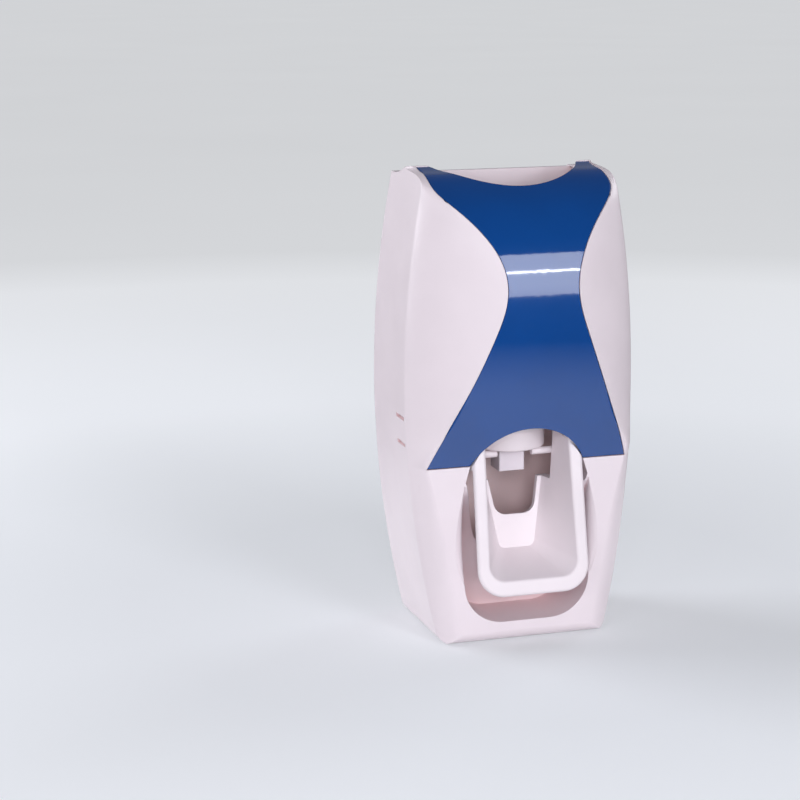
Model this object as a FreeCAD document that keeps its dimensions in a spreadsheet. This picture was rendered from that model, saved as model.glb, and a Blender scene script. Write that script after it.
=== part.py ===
import FreeCAD, Part
import math
import os

import Sketcher

# Wall-mounted toothpaste dispenser: a white case with a coloured front panel, a tube mouth on top,
# a brush pocket below it and a push lever that squeezes a small pump.
# Millimetres, +Z up, +Y into the wall. The origin is the middle of the wall pad's outer face.
# Depths are measured forwards from the back of the case.

SIZES = {
    "wall pad": {
        "pad_width": 46.0,
        "pad_height": 90.0,
        "pad_thickness": 1.0,
        "pad_corner_radius": 5.0,
    },
    "case outline": {
        "case_top": 78.0,
        "case_bottom": -82.0,
        "belt_height": 5.0,
        "belt_half_width": 40.5,
        "top_half_width": 33.1,
        "bottom_half_width": 30.1,
        "bottom_corner_radius": 1.6,
        "bottom_front_corner_radius": 3.2,
        "base_edge_radius": 4.0,
        "side_depth": 35.5,
        "side_depth_gain": 5.0,
        "cheek_angle": 25.0,
        "rim_drop": 3.2,
        "hump_depth": 19.0,
        "side_wall": 2.0,
        "front_wall": 1.8,
        "floor_wall": 2.0,
    },
    "case front below the panel": {
        "base_depth": 46.0,
        "base_flat_half_width": 22.5,
        "belly_height": -50.0,
        "belly_depth": 45.7,
        "belly_flat_half_width": 28.0,
    },
    "front panel stations": {
        "foot_height": -19.8,
        "foot_depth": 44.9,
        "foot_half_width": 35.2,
        "hem_height": -8.0,
        "hem_depth": 50.0,
        "hem_half_width": 30.4,
        "chest_height": 8.0,
        "chest_depth": 55.3,
        "chest_half_width": 23.3,
        "throat_height": 25.0,
        "throat_depth": 58.8,
        "throat_half_width": 16.3,
        "waist_height": 41.0,
        "waist_depth": 59.6,
        "waist_half_width": 12.1,
        "bust_height": 52.0,
        "bust_depth": 57.3,
        "bust_half_width": 14.5,
        "brow_height": 62.0,
        "brow_depth": 51.4,
        "brow_half_width": 21.3,
        "shoulder_height": 68.5,
        "shoulder_depth": 45.2,
        "shoulder_half_width": 27.8,
        "corner_height": 72.8,
        "corner_depth": 38.3,
        "corner_half_width": 31.0,
        "crown_height": 76.2,
        "crown_depth": 29.5,
        "crown_half_width": 31.0,
        "top_depth": 19.0,
        "top_panel_half_width": 30.6,
    },
    "front panel": {
        "panel_thickness": 1.8,
        "panel_inset": 0.25,
        "panel_gap": 0.25,
        "arch_half_width": 20.1,
        "arch_rise": 12.6,
        "peg_radius": 1.5,
        "peg_length": 5.0,
        "peg_gap": 0.1,
        "upper_peg_half_span": 27.6,
        "upper_peg_height": 70.0,
        "lower_peg_half_span": 29.0,
        "lower_peg_height": -14.5,
    },
    "tube mouth": {
        "mouth_half_width": 30.5,
        "mouth_shoulder_depth": 13.0,
        "scoop_half_width": 25.2,
        "scoop_end_depth": 21.5,
        "scoop_depth": 38.4,
    },
    "brush pocket": {
        "pocket_half_width": 22.3,
        "pocket_bottom": -75.0,
        "pocket_corner_radius": 14.0,
        "pocket_top": -25.5,
        "pocket_back_depth": 25.0,
        "pocket_bend_height": -58.0,
        "pocket_wall": 2.0,
        "pocket_lip_radius": 4.0,
        "pocket_lip_height": -45.0,
        "lever_gap_half_width": 24.0,
        "lever_gap_bottom": -16.0,
        "lever_gap_top": -4.0,
        "notch_half_width": 21.8,
        "notch_foot_half_width": 13.0,
        "notch_bottom": -57.0,
    },
    "side slots": {
        "slot_length": 9.0,
        "slot_width": 1.3,
        "slot_depth": 31.0,
        "upper_slot_height": -4.4,
        "lower_slot_height": -13.4,
    },
    "rear cover": {
        "cover_thickness": 2.4,
        "cover_gap": 0.2,
        "screw_upper_half_span": 30.6,
        "screw_upper_height": 54.0,
        "screw_lower_half_span": 27.2,
        "screw_lower_height": -62.0,
        "boss_radius": 3.6,
        "boss_length": 14.0,
        "screw_head_radius": 2.4,
        "screw_head_height": 1.3,
        "screw_head_gap": 0.25,
        "screw_shank_radius": 1.2,
        "screw_shank_length": 9.0,
        "screw_pilot_gap": 0.05,
        "screw_slot_width": 0.7,
        "screw_slot_depth": 0.6,
    },
    "pump carrier": {
        "pump_depth": 25.2,
        "deck_height": 3.0,
        "deck_thickness": 3.0,
        "deck_half_width": 37.1,
        "deck_back_depth": 4.0,
        "deck_front_depth": 45.0,
        "skirt_thickness": 2.0,
        "skirt_back_depth": 22.0,
        "skirt_front_depth": 33.0,
        "skirt_bottom": -16.0,
        "lug_reach": 1.8,
        "lug_gap": 0.15,
        "bracket_half_gap": 20.0,
        "bracket_thickness": 3.0,
        "bracket_radius": 4.4,
    },
    "lever hinge": {
        "pivot_depth": 40.5,
        "pivot_height": -11.0,
        "pin_radius": 1.5,
        "pin_running_gap": 0.05,
        "pin_press_gap": 0.02,
        "pin_inner_reach": 15.6,
        "pin_outer_reach": 23.6,
    },
    "push lever": {
        "lever_tilt": 10.9,
        "lever_length": 55.2,
        "lever_half_width": 19.7,
        "lever_flare": 1.1,
        "lever_front": 4.1,
        "lever_panel_gap": 0.5,
        "lever_rim_width": 4.9,
        "lever_rim_foot": 6.2,
        "lever_corner_radius": 9.5,
        "lever_mouth_corner_radius": 5.6,
        "lever_bowl_depth": 17.0,
        "lever_back_half_width": 6.2,
        "lever_back_widening": 7.0,
        "lever_back_foot": 39.5,
        "lever_back_corner_radius": 2.5,
        "lever_wall": 2.2,
        "lever_rim_round": 1.1,
        "arm_thickness": 4.3,
        "arm_round": 4.8,
        "arm_back": 12.4,
        "arm_foot": 11.0,
        "nozzle_slot_half_width": 6.8,
        "nozzle_slot_widening": 5.0,
        "nozzle_slot_foot": 28.0,
        "nozzle_slot_radius": 4.5,
        "plunger_relief_radius": 15.6,
        "plunger_relief_bottom": -28.8,
        "ear_radius": 1.25,
        "ear_gap": 0.3,
        "ear_inner_reach": 6.3,
        "ear_lever_arm": 8.9,
    },
    "plunger": {
        "plunger_radius": 12.6,
        "plunger_bottom": -18.0,
        "plunger_height": 8.4,
        "plunger_floor": 3.2,
        "plunger_bore_radius": 8.4,
        "plunger_flange_radius": 14.2,
        "plunger_flange_height": 1.6,
        "plunger_edge_round": 0.8,
        "outlet_bore_radius": 3.2,
    },
    "nozzle": {
        "nozzle_width": 9.2,
        "nozzle_length": 8.4,
        "nozzle_bore_radius": 2.2,
        "nozzle_spigot_radius": 3.15,
        "nozzle_spigot_length": 2.4,
        "nozzle_edge_round": 0.5,
        "seal_ring_radius": 3.87,
        "seal_cord_radius": 0.66,
        "seal_groove_radius": 4.6,
        "seal_groove_depth": 1.4,
        "duckbill_radius": 2.0,
        "duckbill_tip_radius": 1.2,
        "duckbill_length": 2.6,
        "duckbill_flange_radius": 4.4,
        "duckbill_flange_height": 0.8,
        "duckbill_slit_width": 0.4,
        "duckbill_slit_depth": 1.6,
    },
    "tube collar": {
        "neck_bore_radius": 6.5,
        "neck_bore_length": 10.0,
        "collar_radius": 9.6,
        "collar_flange_radius": 15.0,
        "collar_flange_height": 1.5,
        "collar_spigot_length": 6.0,
        "collar_lead_in": 1.8,
        "collar_gap": 0.1,
        "valve_seat_radius": 7.4,
        "valve_seat_height": 2.4,
        "valve_port_radius": 1.3,
        "valve_port_circle": 4.2,
        "valve_stem_radius": 0.9,
        "valve_stem_gap": 0.05,
        "valve_knob_radius": 1.5,
        "valve_knob_height": 1.0,
        "valve_flap_radius": 6.4,
        "valve_flap_thickness": 0.8,
        "clamp_ring_radius": 18.8,
        "clamp_ring_height": 2.0,
        "clamp_screw_half_span": 16.9,
        "clamp_screw_head_radius": 1.7,
        "clamp_screw_head_height": 1.2,
        "clamp_screw_shank_radius": 0.9,
        "clamp_screw_shank_length": 5.6,
    },
    "bellows and spring": {
        "bellows_folds": 3,
        "bellows_outer_radius": 11.3,
        "bellows_inner_radius": 9.4,
        "bellows_wall": 0.9,
        "bellows_cuff_gap": 0.1,
        "bellows_foot_gap": 0.2,
        "bellows_foot_height": 3.0,
        "spring_radius": 13.0,
        "spring_wire_radius": 0.45,
        "spring_turns": 4,
        "spring_seat_gap": 0.3,
    },
}


class Size:
    """A length that remembers which spreadsheet cells it is worked out from."""

    def __init__(self, value, text):
        self.value = value
        self.text = text

    def __add__(self, other):
        other = as_size(other)
        return Size(self.value + other.value, f"({self.text} + {other.text})")

    def __sub__(self, other):
        other = as_size(other)
        return Size(self.value - other.value, f"({self.text} - {other.text})")

    def __rsub__(self, other):
        return as_size(other) - self

    def __mul__(self, factor):
        factor = as_size(factor)
        return Size(self.value * factor.value, f"({self.text} * {factor.text})")

    def __truediv__(self, factor):
        factor = as_size(factor)
        return Size(self.value / factor.value, f"({self.text} / {factor.text})")

    def __neg__(self):
        return Size(-self.value, f"(0 - {self.text})")

    __radd__ = __add__
    __rmul__ = __mul__


def as_size(value):
    """The value itself, or a plain number as a size."""
    if isinstance(value, Size):
        return value
    return Size(float(value), repr(float(value)))


def make_sheet(document):
    """The spreadsheet of driving dimensions, one aliased cell for each."""
    sheet = document.addObject("Spreadsheet::Sheet", "Sizes")
    row = 1
    for group, sizes in SIZES.items():
        sheet.set(f"A{row}", group)
        row += 1
        for name, value in sizes.items():
            sheet.set(f"A{row}", name.replace("_", " "))
            sheet.set(f"B{row}", repr(value))
            sheet.setAlias(f"B{row}", name)
            row += 1
    document.recompute()
    return sheet


doc = FreeCAD.newDocument("toothpaste_dispenser")
sheet = make_sheet(doc)
Vector = FreeCAD.Vector
CLEAR = 30.0
OVERCUT = 1.0
SIDE_HANDLE_SHARE = 0.3
FRONT_HANDLE_SHARE = 0.42
LEAST_CHEEK_DEPTH = 3.0
HUMP_HANDLE_SHARE = 0.65
HUMP_HANDLE_LIFT = 0.6
HUMP_FOOT_SHARE = 0.25
CORNER_BULGE_SHARE = 0.42
SWEEP_START = (4.0, 9.0)
SWEEP_END = 15.0
PILOT_REACH = 3.0
SLOT_CUT = 10.0
LIP_REACH = 1.5
LIP_END_SHARE = 0.02
NOTCH_ROUND_SHARE = 0.6
SCREW_SINK = 0.15
AXIS_X = Vector(1, 0, 0)
AXIS_Y = Vector(0, 1, 0)
AXIS_Z = Vector(0, 0, 1)


def cell(name):
    """A driving dimension as a plain number."""
    return float(sheet.get(name))


def size(name):
    """A driving dimension that keeps its link to the sheet."""
    return Size(cell(name), f"Sizes.{name}")


def at_depth(depth):
    """The Y of a depth in front of the back of the case."""
    return -(cell("pad_thickness") + depth)


def y_of(depth):
    """The linked Y of a depth in front of the back of the case."""
    return -(size("pad_thickness") + depth)


# Helpers for document objects


def bind(target, **sizes):
    """Set properties from sizes and link each one to the sheet."""
    for name, value in sizes.items():
        value = as_size(value)
        setattr(target, name, value.value)
        target.setExpression(name, value.text)


def place(target, x=0.0, y=0.0, z=0.0):
    """Put an object at a linked position."""
    x, y, z = as_size(x), as_size(y), as_size(z)
    target.Placement.Base = Vector(x.value, y.value, z.value)
    for axis, value in (("x", x), ("y", y), ("z", z)):
        target.setExpression(f"Placement.Base.{axis}", value.text)


def turn(target, axis, degrees):
    """Turn an object about an axis through its own origin."""
    base = target.Placement.Base
    target.Placement = FreeCAD.Placement(base, FreeCAD.Rotation(axis, degrees))


def body_named(name):
    return doc.addObject("PartDesign::Body", name)


def origin_plane(body, role):
    for feature in body.Origin.OriginFeatures:
        if feature.Role == role:
            return feature
    raise ValueError(role)


def sketch_on(body, name, role, lift=0.0):
    """An empty sketch on one of the body's own planes, lifted along the plane's normal."""
    sketch = body.newObject("Sketcher::SketchObject", name)
    sketch.AttachmentSupport = [(origin_plane(body, role), "")]
    sketch.MapMode = "FlatFace"
    sketch.setExpression("AttachmentOffset.Base.z", as_size(lift).text)
    return sketch


def add_outline(sketch, corners):
    """A closed outline of straight lines through linked corners."""
    corners = [(as_size(u), as_size(v)) for u, v in corners]
    points = [Vector(u.value, v.value, 0) for u, v in corners]
    first = sketch.GeometryCount
    count = len(points)
    for index, point in enumerate(points):
        sketch.addGeometry(Part.LineSegment(point, points[(index + 1) % count]))
    for index in range(count):
        follower = first + (index + 1) % count
        sketch.addConstraint(Sketcher.Constraint("Coincident", first + index, 2, follower, 1))
    for index, (u, v) in enumerate(corners):
        for kind, value in (("DistanceX", u), ("DistanceY", v)):
            number = sketch.addConstraint(Sketcher.Constraint(kind, -1, 1, first + index, 1, value.value))
            sketch.setExpression(f"Constraints[{number}]", value.text)


def add_circle(sketch, u, v, radius):
    """A circle with a linked centre and radius."""
    u, v, radius = as_size(u), as_size(v), as_size(radius)
    index = sketch.addGeometry(Part.Circle(Vector(u.value, v.value, 0), Vector(0, 0, 1), radius.value))
    for kind, value in (("DistanceX", u), ("DistanceY", v)):
        number = sketch.addConstraint(Sketcher.Constraint(kind, -1, 1, index, 3, value.value))
        sketch.setExpression(f"Constraints[{number}]", value.text)
    number = sketch.addConstraint(Sketcher.Constraint("Radius", index, radius.value))
    sketch.setExpression(f"Constraints[{number}]", radius.text)


def box_corners(u_low, u_high, v_low, v_high):
    return [(u_low, v_low), (u_high, v_low), (u_high, v_high), (u_low, v_high)]


def pad(body, sketch, length, back=False):
    feature = body.newObject("PartDesign::Pad", f"{sketch.Name}_pad")
    feature.Profile = sketch
    feature.Reversed = back
    bind(feature, Length=length)
    return feature


def pocket(body, sketch, length, back=False):
    feature = body.newObject("PartDesign::Pocket", f"{sketch.Name}_pocket")
    feature.Profile = sketch
    feature.Reversed = back
    bind(feature, Length=length)
    return feature


def revolve(name, corners):
    """A body turned about its own Z axis from an outline of radius and height."""
    body = body_named(name)
    sketch = sketch_on(body, f"{name}_section", "XZ_Plane")
    add_outline(sketch, corners)
    feature = body.newObject("PartDesign::Revolution", f"{name}_turned")
    feature.Profile = sketch
    feature.ReferenceAxis = (sketch, ["V_Axis"])
    feature.Angle = 360.0
    return body


def round_edges(body, radius, wanted):
    """Fillet those edges of the body for which the test says yes."""
    doc.recompute()
    base = body.Tip
    names = [f"Edge{i + 1}" for i, edge in enumerate(base.Shape.Edges) if wanted(edge)]
    feature = body.newObject("PartDesign::Fillet", f"{base.Name}_round")
    feature.Base = (base, names)
    bind(feature, Radius=radius)
    return feature


def runs_along(axis):
    """A test for straight edges parallel to an axis."""
    def test(edge):
        if edge.Curve.TypeId != "Part::GeomLine":
            return False
        return abs(edge.Curve.Direction.dot(axis)) > 0.999
    return test


def solid_of(name, shape):
    """A shape worked out by code, kept as an object of the document."""
    feature = doc.addObject("Part::Feature", name)
    feature.Shape = shape
    feature.Placement = FreeCAD.Placement()
    return feature


def fuse_of(name, pieces):
    feature = doc.addObject("Part::MultiFuse", name)
    feature.Shapes = pieces
    return feature


def cut_of(name, base, tool):
    feature = doc.addObject("Part::Cut", name)
    feature.Base = base
    feature.Tool = tool
    return feature


def common_of(name, base, tool):
    feature = doc.addObject("Part::Common", name)
    feature.Base = base
    feature.Tool = tool
    return feature


def cylinder(name, radius, height):
    feature = doc.addObject("Part::Cylinder", name)
    bind(feature, Radius=radius, Height=height)
    return feature


def box(name, x, y, z):
    """A box between linked low and high values on each axis."""
    feature = doc.addObject("Part::Box", name)
    spans = [(as_size(low), as_size(high)) for low, high in (x, y, z)]
    bind(feature, Length=spans[0][1] - spans[0][0], Width=spans[1][1] - spans[1][0])
    bind(feature, Height=spans[2][1] - spans[2][0])
    place(feature, spans[0][0], spans[1][0], spans[2][0])
    return feature


# The case's outer form, as level sections joined by a loft


PANEL_STATIONS = ("foot", "hem", "chest", "throat", "waist", "bust", "brow", "shoulder", "corner", "crown")


def panel_stations():
    """Height, depth and half width of the front panel, from its foot to the top of the case."""
    rows = []
    for name in PANEL_STATIONS:
        rows.append((cell(f"{name}_height"), cell(f"{name}_depth"), cell(f"{name}_half_width")))
    rows.append((cell("case_top"), cell("top_depth"), cell("top_panel_half_width")))
    return rows


def lower_stations():
    """Height, depth and flat half width of the white front below the panel."""
    base = (cell("case_bottom"), cell("base_depth"), cell("base_flat_half_width"))
    belly = (cell("belly_height"), cell("belly_depth"), cell("belly_flat_half_width"))
    return [base, belly, panel_stations()[0]]


def side_half_width(height):
    """Half the width of the case, bowed outwards to the belt."""
    belt = cell("belt_half_width")
    rise = height - cell("belt_height")
    if rise > 0:
        share = rise / (cell("case_top") - cell("belt_height"))
        return belt - (belt - cell("top_half_width")) * share ** 2
    share = rise / (cell("case_bottom") - cell("belt_height"))
    return belt - (belt - cell("bottom_half_width")) * share ** 2


def side_depth_at(height):
    """How far forward the side walls reach, further below the belt."""
    belt = cell("belt_height")
    share = max(belt - height, 0.0) / (belt - cell("case_bottom"))
    return cell("side_depth") + cell("side_depth_gain") * share


def cheek_curve(side, front, lead):
    """A curve from the side wall's front edge to the edge of the front's flat."""
    across = side[0] - front[0]
    ahead = front[1] - side[1]
    side_handle = (side[0], side[1] + SIDE_HANDLE_SHARE * ahead)
    reach = FRONT_HANDLE_SHARE * across
    front_handle = (front[0] + reach * math.cos(lead), front[1] - reach * math.sin(lead))
    return [side, side_handle, front_handle, front]


def level_section(height, back, side, front, lead):
    """A closed level outline of the case: back, sides, cheeks and the front's flat."""
    def point(across, depth):
        return Vector(across, at_depth(depth), height)

    def curve(poles):
        bezier = Part.BezierCurve()
        bezier.setPoles([point(*pole) for pole in poles])
        return bezier.toShape()

    right = cheek_curve(side, front, lead)
    left = [(-across, depth) for across, depth in reversed(right)]
    edges = [
        Part.makeLine(point(-side[0], back), point(side[0], back)),
        Part.makeLine(point(side[0], back), point(*side)),
        curve(right),
        Part.makeLine(point(*front), point(-front[0], front[1])),
        curve(left),
        Part.makeLine(point(-side[0], side[1]), point(-side[0], back)),
    ]
    return Part.Wire(edges)


def lead_angle(height):
    """How far the cheeks turn away from the front where they meet it."""
    low = cell("belly_height")
    high = cell("hem_height")
    share = min(max((height - low) / (high - low), 0.0), 1.0)
    return math.radians(cell("cheek_angle")) * share


def section_at(height, depth, half, back, side_inset, height_for_width):
    """The level outline for one station, drawn in by the wall where it is an inner form."""
    side_edge = min(side_depth_at(height_for_width), depth - LEAST_CHEEK_DEPTH) - side_inset / 2
    side = (side_half_width(height_for_width) - side_inset, side_edge)
    front = (half - side_inset / 2, depth)
    return level_section(height, back, side, front, lead_angle(height_for_width))


def stations_inset(rows, inset, close_top):
    """Stations moved inwards, square to the side view's outline."""
    moved = []
    last = len(rows) - 1
    for index, (height, depth, half) in enumerate(rows):
        before = rows[max(index - 1, 0)]
        after = rows[min(index + 1, last)]
        rise = after[0] - before[0]
        run = after[1] - before[1]
        length = math.hypot(rise, run)
        outward = (rise / length, -run / length)
        if index == 0:
            outward = (1.0, 0.0)
        if close_top and index == last:
            outward = (0.0, 1.0)
        moved.append((height - inset * outward[1], depth - inset * outward[0], half, height))
    return moved


def upper_form(front_inset, side_inset, back):
    """The case above the panel's foot."""
    rows = stations_inset(panel_stations(), front_inset, True)
    wires = [section_at(z, depth, half, back, side_inset, level) for z, depth, half, level in rows]
    return Part.makeLoft(wires, True, False)


def lower_form(front_inset, side_inset, floor, back):
    """The case below the panel's foot."""
    rows = lower_stations()
    wires = []
    for height, depth, half in rows:
        level = max(height, rows[0][0] + floor)
        wires.append(section_at(level, depth - front_inset, half, back, side_inset, level))
    return Part.makeLoft(wires, True, False)


def hump_cutter():
    """What is taken off behind the shoulders, where the side walls drop to the rear rim."""
    top = cell("case_top")
    rim = top - cell("rim_drop")
    hump = cell("hump_depth")
    half_width = cell("belt_half_width") + CLEAR

    def point(depth, height):
        return Vector(-half_width, at_depth(depth), height)

    slope = Part.BezierCurve()
    low = hump * HUMP_FOOT_SHARE
    handle = hump * HUMP_HANDLE_SHARE
    lifted = rim + HUMP_HANDLE_LIFT
    slope.setPoles([point(hump, top), point(handle, top), point(handle, lifted), point(low, rim)])
    edges = [
        slope.toShape(),
        Part.makeLine(point(low, rim), point(-CLEAR, rim)),
        Part.makeLine(point(-CLEAR, rim), point(-CLEAR, top + CLEAR)),
        Part.makeLine(point(-CLEAR, top + CLEAR), point(hump, top + CLEAR)),
        Part.makeLine(point(hump, top + CLEAR), point(hump, top)),
    ]
    return Part.Face(Part.Wire(edges)).extrude(Vector(2 * half_width, 0, 0))


def corner_wire(side, inset, floor, depth):
    """The outline that rounds one bottom corner at one depth, wider towards the front."""
    y = at_depth(depth)
    bottom = cell("case_bottom") + floor
    widening = cell("bottom_front_corner_radius") - cell("bottom_corner_radius")
    radius = cell("bottom_corner_radius") + widening * depth / cell("base_depth") - inset / 2
    reach = (side_half_width(bottom) - inset) * side
    slope = math.atan2(side_half_width(bottom + CLEAR) - side_half_width(bottom), CLEAR)
    leg = radius * math.tan((math.pi / 2 + slope) / 2)
    start = Vector(reach - side * leg, y, bottom)
    end = Vector(reach + side * leg * math.sin(slope), y, bottom + leg * math.cos(slope))
    corner = Vector(reach, y, bottom)
    middle = (start + end) * 0.5
    bulge = middle + (corner - middle) * CORNER_BULGE_SHARE
    outer = reach + side * CLEAR
    under = bottom - CLEAR
    beyond = [Vector(outer, y, end.z), Vector(outer, y, under), Vector(start.x, y, under)]
    edges = [Part.Arc(start, bulge, end).toShape()]
    for first, second in zip([end] + beyond, beyond + [start]):
        edges.append(Part.makeLine(first, second))
    return Part.Wire(edges)


def bottom_corner_cutter(side, inset, floor):
    """What rounds one bottom corner of the case or of its hollow, from behind it to beyond its front."""
    back = corner_wire(side, inset, floor, -2 * OVERCUT)
    front = corner_wire(side, inset, floor, cell("waist_depth") + OVERCUT)
    return Part.makeLoft([back, front], True, True)


def base_edge_cutter():
    """What rounds the front edge of the case's floor."""
    bottom = cell("case_bottom")
    front = cell("base_depth")
    radius = cell("base_edge_radius")
    half_width = cell("belt_half_width")
    diagonal = radius * (1 - math.sqrt(0.5))

    def point(depth, height):
        return Vector(-half_width, at_depth(depth), height)

    edges = [
        Part.Arc(
            point(front - radius, bottom),
            point(front - diagonal, bottom + diagonal),
            point(front, bottom + radius),
        ).toShape(),
        Part.makeLine(point(front, bottom + radius), point(front + CLEAR, bottom + radius)),
        Part.makeLine(point(front + CLEAR, bottom + radius), point(front + CLEAR, bottom - CLEAR)),
        Part.makeLine(point(front + CLEAR, bottom - CLEAR), point(front - radius, bottom - CLEAR)),
        Part.makeLine(point(front - radius, bottom - CLEAR), point(front - radius, bottom)),
    ]
    return Part.Face(Part.Wire(edges)).extrude(Vector(2 * half_width, 0, 0))


def lip_section(side, height, radius):
    """The level outline that rounds one long edge of the pocket by a radius."""
    half = cell("pocket_half_width")
    front = cell("belly_depth")
    diagonal = radius * (1 - math.sqrt(0.5))

    def point(across, depth):
        return Vector(side * across, at_depth(depth), height)

    return Part.Wire([
        Part.Arc(
            point(half, front - radius),
            point(half + diagonal, front - diagonal),
            point(half + radius, front),
        ).toShape(),
        Part.makeLine(point(half + radius, front), point(half + radius, front + LIP_REACH)),
        Part.makeLine(point(half + radius, front + LIP_REACH), point(half - LIP_REACH, front + LIP_REACH)),
        Part.makeLine(point(half - LIP_REACH, front + LIP_REACH), point(half - LIP_REACH, front - radius)),
        Part.makeLine(point(half - LIP_REACH, front - radius), point(half, front - radius)),
    ])


def lip_cutter(side):
    """What softens one long edge of the pocket, most at its middle."""
    radius = cell("pocket_lip_radius")
    sharp = radius * LIP_END_SHARE
    low = cell("pocket_bottom") + cell("pocket_corner_radius")
    return Part.makeLoft([
        lip_section(side, cell("pocket_top"), sharp),
        lip_section(side, cell("pocket_lip_height"), radius),
        lip_section(side, low, sharp),
    ], True, False)


def mouth_prism():
    """The tube mouth seen from above, with the panel's scoop as its front edge."""
    floor = cell("brow_height")
    wide = cell("mouth_half_width")
    narrow = cell("scoop_half_width")
    straight = cell("mouth_shoulder_depth")
    bend = cell("scoop_end_depth")
    tip = cell("scoop_depth")

    def point(across, depth):
        return Vector(across, at_depth(depth), floor)

    def shoulder(side):
        curve = Part.BezierCurve()
        middle = (straight + bend) / 2
        poles = [(wide, straight), (wide, middle), (narrow + OVERCUT, middle), (narrow, bend)]
        curve.setPoles([point(side * across, depth) for across, depth in poles])
        return curve.toShape()

    edges = [
        Part.makeLine(point(-wide, -CLEAR), point(wide, -CLEAR)),
        Part.makeLine(point(wide, -CLEAR), point(wide, straight)),
        shoulder(1),
        Part.Arc(point(narrow, bend), point(0, tip), point(-narrow, bend)).toShape(),
        shoulder(-1),
        Part.makeLine(point(-wide, straight), point(-wide, -CLEAR)),
    ]
    wire = Part.Wire(Part.__sortEdges__(edges))
    return Part.Face(wire).extrude(Vector(0, 0, cell("case_top") - floor + CLEAR))


def front_prism(edges, start_depth, end_depth):
    """A front-view outline, drawn at depth 0, pushed between two depths."""
    face = Part.Face(Part.Wire(Part.__sortEdges__(edges)))
    face.translate(Vector(0, at_depth(start_depth) - at_depth(0.0), 0))
    return face.extrude(Vector(0, start_depth - end_depth, 0))


def front_point(across, height):
    return Vector(across, at_depth(0.0), height)


def panel_prism(gap, top_reach):
    """The panel's front-view outline, grown by a gap and pushed through the front."""
    rows = panel_stations()
    foot = rows[0][0] - gap
    top = rows[-1][0] + top_reach
    right = [front_point(rows[0][2] + gap, foot)]
    right += [front_point(half + gap, height) for height, depth, half in rows[1:]]
    left = [Vector(-point.x, point.y, point.z) for point in right]
    right_curve = Part.BSplineCurve()
    right_curve.interpolate(right)
    left_curve = Part.BSplineCurve()
    left_curve.interpolate(left)
    edges = [
        right_curve.toShape(),
        Part.makeLine(right[-1], Vector(right[-1].x, right[-1].y, top)),
        Part.makeLine(Vector(right[-1].x, right[-1].y, top), Vector(left[-1].x, left[-1].y, top)),
        Part.makeLine(Vector(left[-1].x, left[-1].y, top), left[-1]),
        left_curve.toShape(),
        Part.makeLine(left[0], right[0]),
    ]
    return front_prism(edges, cell("hump_depth"), cell("waist_depth") + CLEAR)


def arch_prism(shrink):
    """The arch cut in the panel's foot above the lever, drawn in where a gap is wanted."""
    foot = cell("foot_height")
    half = cell("arch_half_width") - shrink
    crown = front_point(0, foot + cell("arch_rise") - shrink)
    edges = [
        Part.Arc(front_point(-half, foot), crown, front_point(half, foot)).toShape(),
        Part.makeLine(front_point(half, foot), front_point(half, foot - CLEAR)),
        Part.makeLine(front_point(half, foot - CLEAR), front_point(-half, foot - CLEAR)),
        Part.makeLine(front_point(-half, foot - CLEAR), front_point(-half, foot)),
    ]
    return front_prism(edges, cell("hump_depth"), cell("waist_depth") + CLEAR)


def pocket_outline(grow):
    """The pocket's U-shaped front-view outline, drawn in towards the arch at its top."""
    half = cell("pocket_half_width") + grow
    bottom = cell("pocket_bottom") - grow
    radius = cell("pocket_corner_radius") + grow
    shoulder = cell("pocket_top")
    top = cell("foot_height")
    narrow = cell("arch_half_width") + grow
    diagonal = radius * (1 - math.sqrt(0.5))
    right_arc = Part.Arc(
        front_point(half, bottom + radius),
        front_point(half - diagonal, bottom + diagonal),
        front_point(half - radius, bottom),
    )
    left_arc = Part.Arc(
        front_point(radius - half, bottom),
        front_point(diagonal - half, bottom + diagonal),
        front_point(-half, bottom + radius),
    )
    return [
        Part.makeLine(front_point(-narrow, top), front_point(narrow, top)),
        Part.makeLine(front_point(narrow, top), front_point(half, shoulder)),
        Part.makeLine(front_point(half, shoulder), front_point(half, bottom + radius)),
        right_arc.toShape(),
        Part.makeLine(front_point(half - radius, bottom), front_point(radius - half, bottom)),
        left_arc.toShape(),
        Part.makeLine(front_point(-half, bottom + radius), front_point(-half, shoulder)),
        Part.makeLine(front_point(-half, shoulder), front_point(-narrow, top)),
    ]


def pocket_side_face(grow):
    """Side view of the pocket: a hollow back that sweeps in from the front, and the floor."""
    half_width = cell("belt_half_width") + CLEAR
    front = cell("base_depth") + CLEAR
    top = cell("foot_height") + grow
    lip = cell("belly_depth")
    start = cell("pocket_top") + grow
    back = cell("pocket_back_depth") - grow
    bend = cell("pocket_bend_height")
    bottom = cell("pocket_bottom") - CLEAR

    def point(depth, height):
        return Vector(-half_width, at_depth(depth), height)

    sweep = Part.BezierCurve()
    inward, downward = SWEEP_START
    first_handle = point(lip - inward, start - downward)
    sweep.setPoles([point(lip, start), first_handle, point(back, bend + SWEEP_END), point(back, bend)])
    edges = [
        Part.makeLine(point(front, top), point(lip, top)),
        Part.makeLine(point(lip, top), point(lip, start)),
        sweep.toShape(),
        Part.makeLine(point(back, bend), point(back, bottom)),
        Part.makeLine(point(back, bottom), point(front, bottom)),
        Part.makeLine(point(front, bottom), point(front, top)),
    ]
    return Part.Face(Part.Wire(edges)).extrude(Vector(2 * half_width, 0, 0))


def pocket_form(grow, front_depth):
    """The pocket's hollow, or the wall's outside where it is grown."""
    prism = front_prism(pocket_outline(grow), 0.0, front_depth)
    return prism.common(pocket_side_face(grow))


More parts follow.
